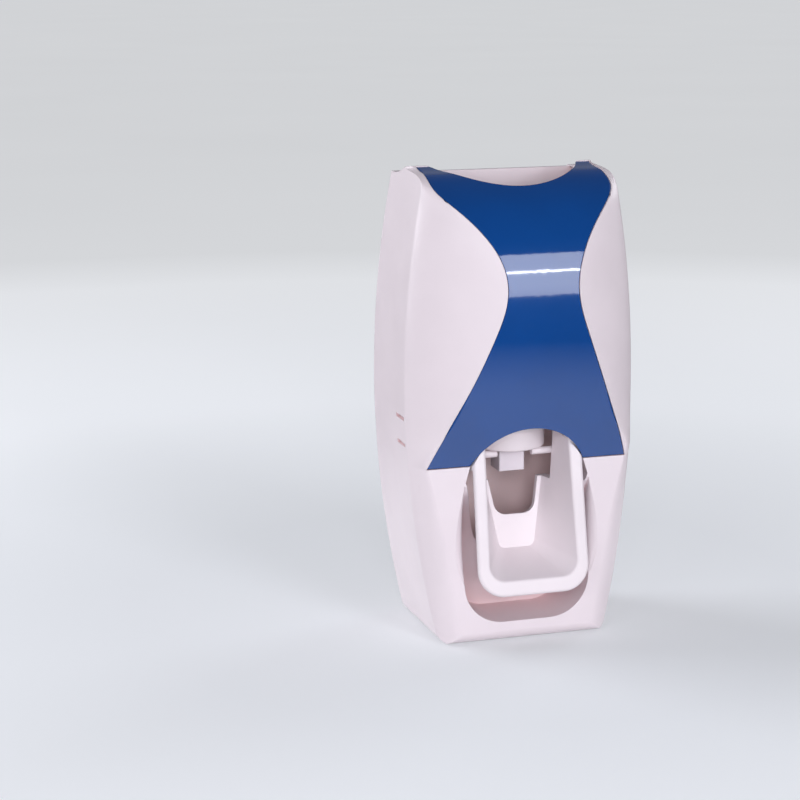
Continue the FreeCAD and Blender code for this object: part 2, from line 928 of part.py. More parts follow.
def notch_prism():
    """The notch in the pocket's back that the lever swings into."""
    top = cell("lever_gap_top")
    narrow = cell("arch_half_width")
    foot_of_panel = cell("foot_height")
    wide = cell("notch_half_width")
    foot = cell("notch_foot_half_width")
    bottom = cell("notch_bottom")
    shoulder = cell("pocket_top")
    start_of_round = bottom + foot * NOTCH_ROUND_SHARE
    right = [(narrow, top), (narrow, foot_of_panel), (wide, shoulder), (foot, start_of_round)]
    points = [front_point(across, height) for across, height in right]
    mirrored = [Vector(-point.x, point.y, point.z) for point in points]
    edges = [Part.makeLine(mirrored[0], points[0])]
    for start, end in zip(points, points[1:]):
        edges.append(Part.makeLine(start, end))
    edges.append(Part.Arc(points[-1], front_point(0, bottom), mirrored[-1]).toShape())
    for start, end in zip(mirrored, mirrored[1:]):
        edges.append(Part.makeLine(start, end))
    return front_prism(edges, cell("cover_thickness"), cell("waist_depth"))


def outer_shape():
    """The whole outer form of the case, uncut."""
    form = upper_form(0.0, 0.0, 0.0).fuse(lower_form(0.0, 0.0, 0.0, 0.0))
    form = form.cut(hump_cutter())
    for side in (1, -1):
        form = form.cut(bottom_corner_cutter(side, 0.0, 0.0))
    return form.cut(base_edge_cutter())


def inner_shape(extra):
    """The hollow of the case, open at the back, drawn in further by a clearance."""
    wall = cell("side_wall") + extra
    front = cell("panel_thickness") + cell("front_wall")
    upper = upper_form(front, wall, -OVERCUT)
    floor = cell("floor_wall") + extra
    lower = lower_form(front, wall, floor, -OVERCUT)
    for side in (1, -1):
        lower = lower.cut(bottom_corner_cutter(side, wall, floor))
    return upper.fuse(lower)


# Case pieces


def screw_places():
    """The four rear cover screws, as linked X and Z."""
    places = []
    for level in ("upper", "lower"):
        for side in (1, -1):
            places.append((side * size(f"screw_{level}_half_span"), size(f"screw_{level}_height")))
    return places


def forward_cylinder(name, radius, start_depth, length, x, z):
    """A cylinder that runs forwards from a depth."""
    feature = cylinder(name, radius, length)
    turn(feature, AXIS_X, 90)
    place(feature, x, y_of(start_depth), z)
    return feature


def side_word(side):
    return "right" if side > 0 else "left"


def screw_posts(outer):
    """The four posts that the rear cover's screws bite into, each webbed to the side wall."""
    start = size("cover_thickness")
    end = start + size("boss_length")
    radius = size("boss_radius")
    half_web = size("side_wall") / 2
    bosses = []
    for index, (x, z) in enumerate(screw_places()):
        bosses.append(forward_cylinder(f"boss_{index}", radius, start, size("boss_length"), x, z))
        across = (x, x + radius * 2) if x.value > 0 else (x - radius * 2, x)
        upright = (z - half_web, z + half_web)
        bosses.append(box(f"boss_web_{index}", across, (y_of(end), y_of(start)), upright))
    return common_of("screw_posts", fuse_of("screw_posts_raw", bosses), outer)


def side_slot(side, level):
    """One of the slots in the case's sides that the pump carrier's lugs sit in."""
    height = size(f"{level}_slot_height")
    half_width = size("slot_width") / 2
    half_length = size("slot_length") / 2
    middle = size("slot_depth")
    start = size("belt_half_width") - size("side_wall") * 2
    low = start if side > 0 else -(start + SLOT_CUT)
    return box(
        f"{level}_slot_{side_word(side)}",
        (low, low + SLOT_CUT),
        (y_of(middle + half_length), y_of(middle - half_length)),
        (height - half_width, height + half_width),
    )


def case_cutters():
    """Everything taken out of the case's walls."""
    recess_depth = cell("panel_thickness") + cell("panel_inset")
    under_panel = upper_form(recess_depth, -CLEAR, -CLEAR)
    recess = panel_prism(cell("panel_gap"), CLEAR).cut(under_panel)
    gap = size("lever_gap_half_width")
    cutters = [
        solid_of("mouth_cutter", mouth_prism()),
        solid_of("panel_recess", recess),
        solid_of("pocket_hollow", pocket_form(0.0, cell("base_depth") + CLEAR)),
        solid_of("lever_notch", notch_prism()),
        solid_of("pocket_lip_right", lip_cutter(1)),
        solid_of("pocket_lip_left", lip_cutter(-1)),
        box("lever_gap", (-gap, gap), (y_of(size("waist_depth")), y_of(size("pivot_depth"))),
            (size("lever_gap_bottom"), size("lever_gap_top"))),
    ]
    for index, (x, z) in enumerate(screw_places()):
        radius = size("screw_shank_radius") + size("screw_pilot_gap")
        reach = size("screw_shank_length") + PILOT_REACH
        cutters.append(forward_cylinder(f"pilot_{index}", radius, 0.0, reach, x, z))
    for side in (1, -1):
        for level in ("upper", "lower"):
            cutters.append(side_slot(side, level))
            x = side * size(f"{level}_peg_half_span")
            radius = size("peg_radius") + size("peg_gap")
            name = f"peg_hole_{level}_{side_word(side)}"
            height = size(f"{level}_peg_height")
            depths = (size("hump_depth"), size("waist_depth"))
            cutters.append(forward_cylinder(name, radius, *depths, x, height))
    return cutters


def make_case_shell(outer):
    """The white case: sides, front wall behind the panel, brush pocket, slots and screw bosses."""
    hollow = solid_of("case_hollow", inner_shape(0.0))
    shell = cut_of("case_walls", outer, hollow)
    front_reach = cell("belly_depth") - cell("pocket_lip_radius") + cell("front_wall") / 2
    pocket_wall = solid_of("pocket_wall", pocket_form(cell("pocket_wall"), front_reach))
    solid = fuse_of("case_solid", [shell, screw_posts(outer), pocket_wall])
    return cut_of("case_shell", solid, fuse_of("case_cutters", case_cutters()))


def make_front_panel():
    """The coloured front panel with its scoop, arch and four locating pegs."""
    skin = upper_form(cell("panel_inset"), 0.0, 0.0).cut(upper_form(
        cell("panel_thickness") + cell("panel_inset"), -CLEAR, -CLEAR))
    plate = skin.common(panel_prism(0.0, CLEAR))
    plate = plate.cut(mouth_prism()).cut(arch_prism(0.0)).cut(hump_cutter())
    blank = solid_of("panel_plate", plate)
    pegs = []
    for side in (1, -1):
        for level in ("upper", "lower"):
            x = side * size(f"{level}_peg_half_span")
            z = size(f"{level}_peg_height")
            station = "corner" if level == "upper" else "foot"
            start = size(f"{station}_depth") - size("peg_length")
            name = f"peg_{level}_{side_word(side)}"
            pegs.append(forward_cylinder(name, size("peg_radius"), start, size("waist_depth"), x, z))
    behind = solid_of("behind_panel", upper_form(cell("panel_thickness"), 0.0, 0.0))
    trimmed = common_of("panel_pegs", fuse_of("panel_pegs_raw", pegs), behind)
    return fuse_of("front_panel", [blank, trimmed])


def make_rear_cover():
    """The flat back of the case, with four sunk screw holes."""
    form = solid_of("cover_form", inner_shape(cell("cover_gap")))
    reach = size("belt_half_width")
    top = size("case_top") - size("rim_drop")
    slab = box(
        "cover_slab",
        (-reach, reach),
        (y_of(size("cover_thickness")), y_of(0.0)),
        (size("case_bottom"), top),
    )
    plate = common_of("cover_plate", form, slab)
    cutters = []
    for index, (x, z) in enumerate(screw_places()):
        sink = size("screw_head_height") + SCREW_SINK
        head = size("screw_head_radius") + size("screw_head_gap")
        shank = size("screw_shank_radius") + size("screw_head_gap")
        cutters.append(forward_cylinder(f"cover_sink_{index}", head, 0.0, sink, x, z))
        through = size("cover_thickness") + OVERCUT
        cutters.append(forward_cylinder(f"cover_hole_{index}", shank, 0.0, through, x, z))
    return cut_of("rear_cover", plate, fuse_of("cover_cutters", cutters))


def make_rear_cover_screws():
    """Four slotted screws that hold the rear cover."""
    screws = []
    for index, (x, z) in enumerate(screw_places()):
        head_start = as_size(SCREW_SINK)
        shank_start = head_start + size("screw_head_height")
        head = forward_cylinder(f"screw_head_{index}", size("screw_head_radius"), head_start,
                                size("screw_head_height"), x, z)
        shank = forward_cylinder(f"screw_shank_{index}", size("screw_shank_radius"), shank_start,
                                 size("screw_shank_length"), x, z)
        reach = size("screw_head_radius") * 2
        half_slot = size("screw_slot_width") / 2
        slot = box(
            f"screw_slot_{index}",
            (x - reach, x + reach),
            (y_of(head_start + size("screw_slot_depth")), y_of(0.0)),
            (z - half_slot, z + half_slot),
        )
        blank = fuse_of(f"screw_blank_{index}", [head, shank])
        screws.append(cut_of(f"screw_{index}", blank, slot))
    group = doc.addObject("Part::Compound", "rear_cover_screws")
    group.Links = screws
    return group


def make_wall_pad():
    """The foam pad that sticks the dispenser to the wall."""
    body = body_named("wall_pad")
    sketch = sketch_on(body, "wall_pad_outline", "XZ_Plane")
    half_width = size("pad_width") / 2
    half_height = size("pad_height") / 2
    add_outline(sketch, box_corners(-half_width, half_width, -half_height, half_height))
    pad(body, sketch, size("pad_thickness"))
    round_edges(body, size("pad_corner_radius"), runs_along(AXIS_Y))
    return body


# Pump pieces, turned about the pump's upright axis


def pump_body(name, corners):
    """A turned piece on the pump's axis."""
    body = revolve(name, corners)
    place(body, 0.0, y_of(size("pump_depth")), 0.0)
    return body


def deck_top():
    return size("deck_height") + size("deck_thickness")


def spigot_bottom():
    return deck_top() - size("collar_spigot_length")


def make_pump_carrier():
    """The deck across the case that carries the pump, with side skirts, lugs and hinge brackets."""
    body = body_named("pump_carrier")
    deck = sketch_on(body, "deck_outline", "XY_Plane", size("deck_height"))
    half = size("deck_half_width")
    nose = size("chest_half_width")
    back = y_of(size("deck_back_depth"))
    bend = y_of(size("skirt_front_depth"))
    front = y_of(size("deck_front_depth"))
    left = [(-half, back), (-half, bend), (-nose, front)]
    right = [(nose, front), (half, bend), (half, back)]
    add_outline(deck, left + right)
    add_circle(deck, 0.0, y_of(size("pump_depth")), size("collar_radius") + size("collar_gap"))
    for side in (1, -1):
        radius = size("clamp_screw_shank_radius") + size("screw_pilot_gap")
        add_circle(deck, side * size("clamp_screw_half_span"), y_of(size("pump_depth")), radius)
    pad(body, deck, size("deck_thickness"))
    skirts = sketch_on(body, "skirt_outline", "XY_Plane", size("deck_height"))
    inner = half - size("skirt_thickness")
    skirt_back = y_of(size("skirt_back_depth"))
    skirt_front = y_of(size("skirt_front_depth"))
    add_outline(skirts, box_corners(inner, half, skirt_front, skirt_back))
    add_outline(skirts, box_corners(-half, -inner, skirt_front, skirt_back))
    pad(body, skirts, size("deck_height") - size("skirt_bottom"), back=True)
    pivot = (y_of(size("pivot_depth")), size("pivot_height"))
    for side in (1, -1):
        add_bracket(body, side, pivot)
        add_lugs(body, side)
    return body


def add_bracket(body, side, pivot):
    """One hinge bracket under the deck, with a round foot and the pin's hole."""
    word = side_word(side)
    start = side * size("bracket_half_gap")
    radius = size("bracket_radius")
    away = side < 0
    web = sketch_on(body, f"bracket_web_{word}", "YZ_Plane", start)
    add_outline(web, box_corners(pivot[0] - radius, pivot[0] + radius, pivot[1], deck_top()))
    pad(body, web, size("bracket_thickness"), back=away)
    foot = sketch_on(body, f"bracket_foot_{word}", "YZ_Plane", start)
    add_circle(foot, pivot[0], pivot[1], radius)
    pad(body, foot, size("bracket_thickness"), back=away)
    hole = sketch_on(body, f"bracket_hole_{word}", "YZ_Plane", start)
    add_circle(hole, pivot[0], pivot[1], size("pin_radius") + size("pin_press_gap"))
    pocket(body, hole, size("bracket_thickness"), back=not away)


def add_lugs(body, side):
    """Two lugs on one skirt that sit in the case's side slots."""
    start = side * size("deck_half_width")
    half_length = size("slot_length") / 2 - size("lug_gap")
    half_width = size("slot_width") / 2 - size("lug_gap")
    middle = y_of(size("slot_depth"))
    front = y_of(size("skirt_front_depth"))
    lugs = sketch_on(body, f"lugs_{side_word(side)}", "YZ_Plane", start)
    for level in ("upper", "lower"):
        height = size(f"{level}_slot_height")
        levels = (height - half_width, height + half_width)
        add_outline(lugs, box_corners(front, middle + half_length, *levels))
    pad(body, lugs, size("lug_reach"), back=side < 0)


def make_tube_collar():
    """The soft collar that grips the neck of an upturned tube."""
    low = spigot_bottom()
    seat_top = low + size("valve_seat_height")
    bore_top = seat_top + size("neck_bore_length")
    rim_top = bore_top + size("collar_lead_in")
    flange_top = deck_top() + size("collar_flange_height")
    outer = size("collar_radius")
    flange = size("collar_flange_radius")
    return pump_body("tube_collar", [
        (size("valve_seat_radius"), low),
        (outer, low),
        (outer, deck_top()),
        (flange, deck_top()),
        (flange, flange_top),
        (outer, flange_top),
        (outer, rim_top),
        (size("neck_bore_radius") + size("collar_lead_in"), rim_top),
        (size("neck_bore_radius"), bore_top),
        (size("neck_bore_radius"), seat_top),
        (size("valve_seat_radius"), seat_top),
    ])


def make_collar_clamp():
    """The ring that clamps the collar's flange to the deck."""
    flange_top = deck_top() + size("collar_flange_height")
    top = flange_top + size("clamp_ring_height")
    inner = size("collar_radius") + size("collar_gap")
    step = size("collar_flange_radius") + size("collar_gap")
    outer = size("clamp_ring_radius")
    body = pump_body("collar_clamp", [
        (inner, flange_top),
        (step, flange_top),
        (step, deck_top()),
        (outer, deck_top()),
        (outer, top),
        (inner, top),
    ])
    holes = sketch_on(body, "clamp_holes", "XY_Plane", top)
    for side in (1, -1):
        radius = size("clamp_screw_shank_radius") + size("screw_head_gap")
        add_circle(holes, side * size("clamp_screw_half_span"), 0.0, radius)
    pocket(body, holes, size("clamp_ring_height") + size("collar_flange_height") + OVERCUT)
    return body


def make_collar_screws():
    """Two small screws that hold the clamp ring down."""
    top = deck_top() + size("collar_flange_height") + size("clamp_ring_height")
    screws = []
    for index, side in enumerate((1, -1)):
        x = side * size("clamp_screw_half_span")
        y = y_of(size("pump_depth"))
        head_height = size("clamp_screw_head_height")
        length = size("clamp_screw_shank_length")
        head = cylinder(f"clamp_head_{index}", size("clamp_screw_head_radius"), head_height)
        place(head, x, y, top)
        shank = cylinder(f"clamp_shank_{index}", size("clamp_screw_shank_radius"), length)
        place(shank, x, y, top - length)
        reach = size("clamp_screw_head_radius") * 2
        half_slot = size("screw_slot_width") / 2
        head_top = top + head_height
        slot = box(
            f"clamp_slot_{index}",
            (x - half_slot, x + half_slot),
            (y - reach, y + reach),
            (head_top - size("screw_slot_depth"), head_top + OVERCUT),
        )
        blank = fuse_of(f"clamp_screw_blank_{index}", [head, shank])
        screws.append(cut_of(f"clamp_screw_{index}", blank, slot))
    group = doc.addObject("Part::Compound", "collar_screws")
    group.Links = screws
    return group


def make_inlet_valve_seat():
    """The ported disc under the tube's neck."""
    low = spigot_bottom()
    top = low + size("valve_seat_height")
    step = top - size("valve_knob_height")
    stem = size("valve_stem_radius") + size("valve_stem_gap")
    knob = size("valve_knob_radius") + size("valve_stem_gap")
    outer = size("valve_seat_radius") - size("valve_stem_gap")
    body = pump_body("inlet_valve_seat", [
        (stem, low), (outer, low), (outer, top), (knob, top), (knob, step), (stem, step),
    ])
    ports = sketch_on(body, "seat_ports", "XY_Plane", top)
    circle = size("valve_port_circle")
    for x, y in ((circle, 0.0), (0.0, circle), (-circle, 0.0), (0.0, -circle)):
        add_circle(ports, x, y, size("valve_port_radius"))
    pocket(body, ports, size("valve_seat_height") + OVERCUT)
    return body


def make_inlet_valve():
    """The soft flap that closes the ports when the pump is squeezed."""
    low = spigot_bottom()
    top = low + size("valve_seat_height")
    step = top - size("valve_knob_height") + size("valve_stem_gap")
    flap_low = low - size("valve_flap_thickness")
    stem = size("valve_stem_radius")
    knob = size("valve_knob_radius")
    flap = size("valve_flap_radius")
    return pump_body("inlet_valve", [
        (0.0, flap_low), (flap, flap_low), (flap, low), (stem, low),
        (stem, step), (knob, step), (knob, top), (0.0, top),
    ])


def plunger_top():
    return size("plunger_bottom") + size("plunger_height")


def make_pump_bellows():
    """The folded silicone chamber between the collar and the plunger."""
    wall = size("bellows_wall")
    cuff = size("collar_radius") + size("bellows_cuff_gap") + wall
    foot = size("plunger_bore_radius") - size("bellows_foot_gap")
    top = size("deck_height")
    start = spigot_bottom()
    folds = int(cell("bellows_folds"))
    step = (start - plunger_top()) / (2 * folds)
    skin = [(cuff, top), (cuff, start)]
    for index in range(1, 2 * folds):
        radius = size("bellows_inner_radius") if index % 2 else size("bellows_outer_radius")
        skin.append((radius, start - step * index))
    skin.append((foot, plunger_top()))
    skin.append((foot, plunger_top() - size("bellows_foot_height")))
    lining = [(radius - wall, height) for radius, height in reversed(skin)]
    return pump_body("pump_bellows", skin + lining)


def helix_point(turns, radius, pitch, start):
    """A point of the spring's centre line and the direction it runs in there."""
    angle = 2 * math.pi * turns
    rise = pitch / (2 * math.pi)
    point = Vector(radius * math.cos(angle), radius * math.sin(angle), start + rise * angle)
    along = Vector(-radius * math.sin(angle), radius * math.cos(angle), rise)
    return point, along.normalize()


def biarc(first, first_way, last, last_way):
    """Two arcs, tangent to each other, between two points and their directions."""
    span = last - first
    ways = first_way + last_way
    a = 2 * (first_way.dot(last_way) - 1)
    b = -2 * span.dot(ways)
    c = span.dot(span)
    reach = (-b - math.sqrt(b * b - 4 * a * c)) / (2 * a)
    first_corner = first + first_way * reach
    last_corner = last - last_way * reach
    joint = (first_corner + last_corner) * 0.5
    return [tangent_arc(first, first_corner, joint), tangent_arc(joint, last_corner, last)]


def tangent_arc(start, corner, end):
    """The arc that leaves start towards the corner and reaches end from it."""
    middle = (start + end) * 0.5
    to_corner = corner - middle
    half = (end - start).Length / 2
    leg = (corner - start).Length
    sagitta = half * (leg - half) / to_corner.Length
    return Part.Arc(start, middle + to_corner.normalize() * sagitta, end).toShape()


def make_return_spring():
    """The coil spring around the bellows, as one tube along quarter-turn biarcs."""
    radius = cell("spring_radius")
    wire = cell("spring_wire_radius")
    gap = cell("spring_seat_gap") + wire
    start = plunger_top().value + gap
    end = cell("deck_height") - gap
    turns = int(cell("spring_turns"))
    pitch = (end - start) / turns
    edges = []
    for quarter in range(4 * turns):
        first, first_way = helix_point(quarter / 4, radius, pitch, start)
        last, last_way = helix_point((quarter + 1) / 4, radius, pitch, start)
        edges += biarc(first, first_way, last, last_way)
    first, way = helix_point(0.0, radius, pitch, start)
    section = Part.Wire(Part.Circle(first, way, wire).toShape())
    tube = Part.Wire(edges).makePipeShell([section], True, False)
    print("return_spring gap between turns", round(pitch - 2 * wire, 3), "mm")
    spring = doc.addObject("Part::Feature", "return_spring")
    spring.Shape = tube
    place(spring, 0.0, y_of(size("pump_depth")), 0.0)
    return spring


def make_plunger_ring():
    """The cup that the lever lifts, with a flange for the spring and a seat for the seal."""
    low = size("plunger_bottom")
    floor = low + size("plunger_floor")
    top = plunger_top()
    flange_low = top - size("plunger_flange_height")
    outer = size("plunger_radius")
    flange = size("plunger_flange_radius")
    groove = size("seal_groove_radius")
    groove_top = low + size("seal_groove_depth")
    body = pump_body("plunger_ring", [
        (groove, low), (outer, low), (outer, flange_low), (flange, flange_low), (flange, top),
        (size("plunger_bore_radius"), top), (size("plunger_bore_radius"), floor),
        (size("outlet_bore_radius"), floor), (size("outlet_bore_radius"), groove_top), (groove, groove_top),
    ])

    def bottom_rim(edge):
        return edge.BoundBox.ZMax < low.value + 0.01 and edge.BoundBox.XLength > 2 * outer.value - 0.1

    round_edges(body, size("plunger_edge_round"), bottom_rim)
    return body


def make_nozzle():
    """The square outlet block under the plunger."""
    body = body_named("nozzle")
    low = size("plunger_bottom")
    block = sketch_on(body, "nozzle_block", "XY_Plane", low)
    half = size("nozzle_width") / 2
    add_outline(block, box_corners(-half, half, -half, half))
    pad(body, block, size("nozzle_length"), back=True)
    round_edges(body, size("nozzle_edge_round"), runs_along(AXIS_Z))
    spigot = sketch_on(body, "nozzle_spigot", "XY_Plane", low)
    add_circle(spigot, 0.0, 0.0, size("nozzle_spigot_radius"))
    pad(body, spigot, size("nozzle_spigot_length"))
    bore = sketch_on(body, "nozzle_bore", "XY_Plane", low + size("nozzle_spigot_length"))
    add_circle(bore, 0.0, 0.0, size("nozzle_bore_radius"))
    pocket(body, bore, size("nozzle_spigot_length") + size("nozzle_length") + OVERCUT)
    place(body, 0.0, y_of(size("pump_depth")), 0.0)
    return body


def make_outlet_valve():
    """The duckbill that keeps the paste from dripping."""
    floor = size("plunger_bottom") + size("plunger_floor")
    top = floor + size("duckbill_flange_height")
    tip = floor - size("duckbill_length")
    flange = size("duckbill_flange_radius")
    body = pump_body("outlet_valve", [
        (0.0, tip), (size("duckbill_tip_radius"), tip), (size("duckbill_radius"), floor),
        (flange, floor), (flange, top), (0.0, top),
    ])
    slit = sketch_on(body, "duckbill_slit", "XY_Plane", tip)
    half = size("duckbill_slit_width") / 2
    reach = size("duckbill_radius")
    add_outline(slit, box_corners(-reach, reach, -half, half))
    pocket(body, slit, size("duckbill_slit_depth"), back=True)
    return body


def make_nozzle_seal():
    """The ring seal round the nozzle's spigot."""
    seal = doc.addObject("Part::Torus", "nozzle_seal")
    bind(seal, Radius1=size("seal_ring_radius"), Radius2=size("seal_cord_radius"))
    place(seal, 0.0, y_of(size("pump_depth")), size("plunger_bottom") + size("seal_groove_depth") / 2)
    return seal


# Lever and its hinge


def make_hinge_pin(side):
    """One of the two short pins that the lever turns on."""
    length = size("pin_outer_reach") - size("pin_inner_reach")
    pin = cylinder(f"hinge_pin_{side_word(side)}", size("pin_radius"), length)
    turn(pin, AXIS_Y, 90)
    start = size("pin_inner_reach") if side > 0 else -size("pin_outer_reach")
    place(pin, start, y_of(size("pivot_depth")), size("pivot_height"))
    return pin


def rounded_corner(before, corner, after, radius):
    """Start, middle and end of the arc that rounds a corner between two straight legs."""
    to_before = (before - corner).normalize()
    to_after = (after - corner).normalize()
    half_angle = to_before.getAngle(to_after) / 2
    leg = radius / math.tan(half_angle)
    bisector = (to_before + to_after).normalize()
    middle = corner + bisector * (radius / math.sin(half_angle) - radius)
    return corner + to_before * leg, middle, corner + to_after * leg


def lever_outline(half, foot, radius, front, flare=0.0):
    """The lever's U-shaped outline in its own frame, its foot wider than its top by a flare each side."""
    top_left = Vector(flare - half, -front, 0)
    top_right = Vector(half - flare, -front, 0)
    low_left = Vector(-half, -front, -foot)
    low_right = Vector(half, -front, -foot)
    left = rounded_corner(top_left, low_left, low_right, radius)
    right = rounded_corner(low_left, low_right, top_right, radius)
    edges = [
        Part.makeLine(top_left, left[0]),
        Part.Arc(*left).toShape(),
        Part.makeLine(left[2], right[0]),
        Part.Arc(*right).toShape(),
        Part.makeLine(right[2], top_right),
        Part.makeLine(top_right, top_left),
    ]
    return Part.Wire(edges)


def lever_bowl():
    """The lever's shovel: a thick U-shaped rim round a bowl that narrows to the back."""
    front = cell("lever_front")
    back = front - cell("lever_bowl_depth")
    wall = cell("lever_wall")
    flare = cell("lever_flare")
    half = cell("lever_half_width") + flare
    length = cell("lever_length")
    corner = cell("lever_corner_radius")
    back_half = cell("lever_back_half_width")
    back_foot = cell("lever_back_foot")
    back_corner = cell("lever_back_corner_radius")
    narrowing = -cell("lever_back_widening")
    outer = Part.makeLoft([
        lever_outline(half, length, corner, front, flare),
        lever_outline(back_half + wall, back_foot + wall, back_corner + wall, back - wall, narrowing),
    ], True, True)
    mouth = lever_outline(half - cell("lever_rim_width"), length - cell("lever_rim_foot"),
                          cell("lever_mouth_corner_radius"), front, flare)
    bed = lever_outline(back_half, back_foot, back_corner, back, narrowing)
    inner = Part.makeLoft([mouth, bed], True, True)
    bowl = outer.cut(inner)
    radius = cell("lever_rim_round")
    rim = []
    for edge in bowl.Edges:
        box_of_edge = edge.BoundBox
        on_front = box_of_edge.YMax < -front + 0.01
        below_top = box_of_edge.ZMin < -OVERCUT
        if on_front and below_top:
            rim.append(edge)
    return bowl.makeFillet(radius, rim)


def lever_arm(side):
    """One cheek of the lever, from the hinge down past its ear."""
    outer = cell("lever_half_width")
    start = outer if side < 0 else outer - cell("arm_thickness")
    x = -start if side < 0 else start
    thickness = cell("arm_thickness")
    front = cell("lever_front") - cell("lever_rim_round")
    back = cell("arm_back")
    foot = cell("arm_foot")
    plate = Part.makeBox(thickness, front + back, foot, Vector(x, -front, -foot))
    hub = Part.makeCylinder(cell("arm_round"), thickness, Vector(x, 0, 0), AXIS_X)
    return plate.fuse(hub)


def nozzle_slot():
    """The slot in the lever's back that the nozzle hangs through."""
    half = cell("nozzle_slot_half_width")
    foot = cell("nozzle_slot_foot")
    narrowing = -cell("nozzle_slot_widening")
    wire = lever_outline(half, foot, cell("nozzle_slot_radius"), 0.0, narrowing)
    return Part.Face(wire).extrude(Vector(0, CLEAR, 0))


def behind_panel_trim():
    """What is taken off the lever so that it clears the panel beside the arch."""
    half = cell("lever_gap_half_width")
    foot = cell("foot_height")
    gap = cell("lever_panel_gap")
    height = cell("lever_gap_top") - foot
    corner = Vector(-half, at_depth(cell("pivot_depth") + 2 * CLEAR), foot)
    zone = Part.makeBox(2 * half, 2 * CLEAR, height, corner)
    inset = cell("panel_thickness") + cell("panel_inset") + gap
    return zone.cut(upper_form(inset, -CLEAR, -CLEAR)).cut(arch_prism(gap))


def make_push_lever():
    """The push lever: bowl, cheeks, two ears that lift the plunger, and the hinge holes."""
    frame = FreeCAD.Placement()
    frame.Base = Vector(0, at_depth(cell("pivot_depth")), cell("pivot_height"))
    frame.Rotation = FreeCAD.Rotation(AXIS_X, -cell("lever_tilt"))
    bowl = lever_bowl().cut(nozzle_slot())
    cheeks = lever_arm(1).fuse(lever_arm(-1))
    form = bowl.fuse(cheeks)
    form.Placement = frame
    blank = solid_of("lever_blank", form.cut(behind_panel_trim()))
    relief = cylinder("plunger_relief", size("plunger_relief_radius"), size("case_top"))
    place(relief, 0.0, y_of(size("pump_depth")), size("plunger_relief_bottom"))
    relieved = cut_of("lever_relieved", blank, relief)
    additions = [relieved]
    reach = size("lever_half_width") - size("arm_thickness") / 2
    for side in (1, -1):
        ear = cylinder(f"ear_{side_word(side)}", size("ear_radius"), reach - size("ear_inner_reach"))
        turn(ear, AXIS_Y, 90)
        start = size("ear_inner_reach") if side > 0 else -reach
        place(ear, start, y_of(size("pivot_depth") - size("ear_lever_arm")),
              size("plunger_bottom") - size("ear_gap") - size("ear_radius"))
        additions.append(ear)
    whole = fuse_of("lever_whole", additions)
    bore = cylinder("hinge_bore", size("pin_radius") + size("pin_running_gap"), size("belt_half_width") * 2)
    turn(bore, AXIS_Y, 90)
    place(bore, -size("belt_half_width"), y_of(size("pivot_depth")), size("pivot_height"))
    return cut_of("push_lever", whole, bore)


def main():
    outer = solid_of("case_outer", outer_shape())
    pieces = [
        make_case_shell(outer),
        make_front_panel(),
        make_rear_cover(),
        make_rear_cover_screws(),
        make_wall_pad(),
        make_pump_carrier(),
        make_tube_collar(),
        make_collar_clamp(),
        make_collar_screws(),
        make_inlet_valve_seat(),
        make_inlet_valve(),
        make_pump_bellows(),
        make_return_spring(),
        make_plunger_ring(),
        make_nozzle(),
        make_outlet_valve(),
        make_nozzle_seal(),
        make_hinge_pin(1),
        make_hinge_pin(-1),
        make_push_lever(),
    ]
    doc.recompute()
    write(pieces)


def write(pieces):
    """Check every object and write each sub-part to its own file."""
    for item in doc.Objects:
        if "Invalid" in item.State or "Error" in item.State:
            raise RuntimeError(f"{item.Label} failed: {item.State}")
    for piece in pieces:
        if piece.Shape.isNull() or not piece.Shape.isValid():
            raise RuntimeError(f"{piece.Label} has no valid shape")
    os.makedirs("parts", exist_ok=True)
    for piece in pieces:
        piece.Shape.exportStep(f"parts/{piece.Label}.step")
        print(piece.Label, len(piece.Shape.Solids), "solid", round(piece.Shape.Volume, 1), "mm3")


main()
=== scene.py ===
import math

import bmesh
import bpy
from mathutils import Matrix, Vector


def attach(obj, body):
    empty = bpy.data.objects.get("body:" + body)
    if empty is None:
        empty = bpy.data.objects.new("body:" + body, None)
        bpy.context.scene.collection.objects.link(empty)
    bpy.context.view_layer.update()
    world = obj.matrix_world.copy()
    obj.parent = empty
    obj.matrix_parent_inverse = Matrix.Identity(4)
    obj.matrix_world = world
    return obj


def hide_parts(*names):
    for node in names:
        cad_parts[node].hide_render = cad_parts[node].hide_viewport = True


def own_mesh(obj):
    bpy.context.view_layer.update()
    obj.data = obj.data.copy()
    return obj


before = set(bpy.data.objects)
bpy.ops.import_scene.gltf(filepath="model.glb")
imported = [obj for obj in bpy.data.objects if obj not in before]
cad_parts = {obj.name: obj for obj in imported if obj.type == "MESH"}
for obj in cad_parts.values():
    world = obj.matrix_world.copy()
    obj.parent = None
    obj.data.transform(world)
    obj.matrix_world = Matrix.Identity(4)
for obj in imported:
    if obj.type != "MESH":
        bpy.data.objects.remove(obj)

# Wall-mounted toothpaste dispenser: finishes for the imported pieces, and finer pieces for the
# screws, spring, bellows and wall pad. Metres, +Z up, +Y into the wall.

bl_info = {
    "name": "Toothpaste Dispenser",
    "version": (1, 0, 0),
    "blender": (4, 5, 0),
    "location": "View3D > Sidebar > Dispenser",
    "description": "Finishes a wall-mounted toothpaste dispenser and sets it on a plain stage",
    "category": "Object",
}

MM = 0.001
TURN = 2 * math.pi
PUMP_AXIS = Vector((0.0, -0.0262, 0.0))
SEED = 7
FINISH = "_finish"

# Places that repeat the part's own sizes

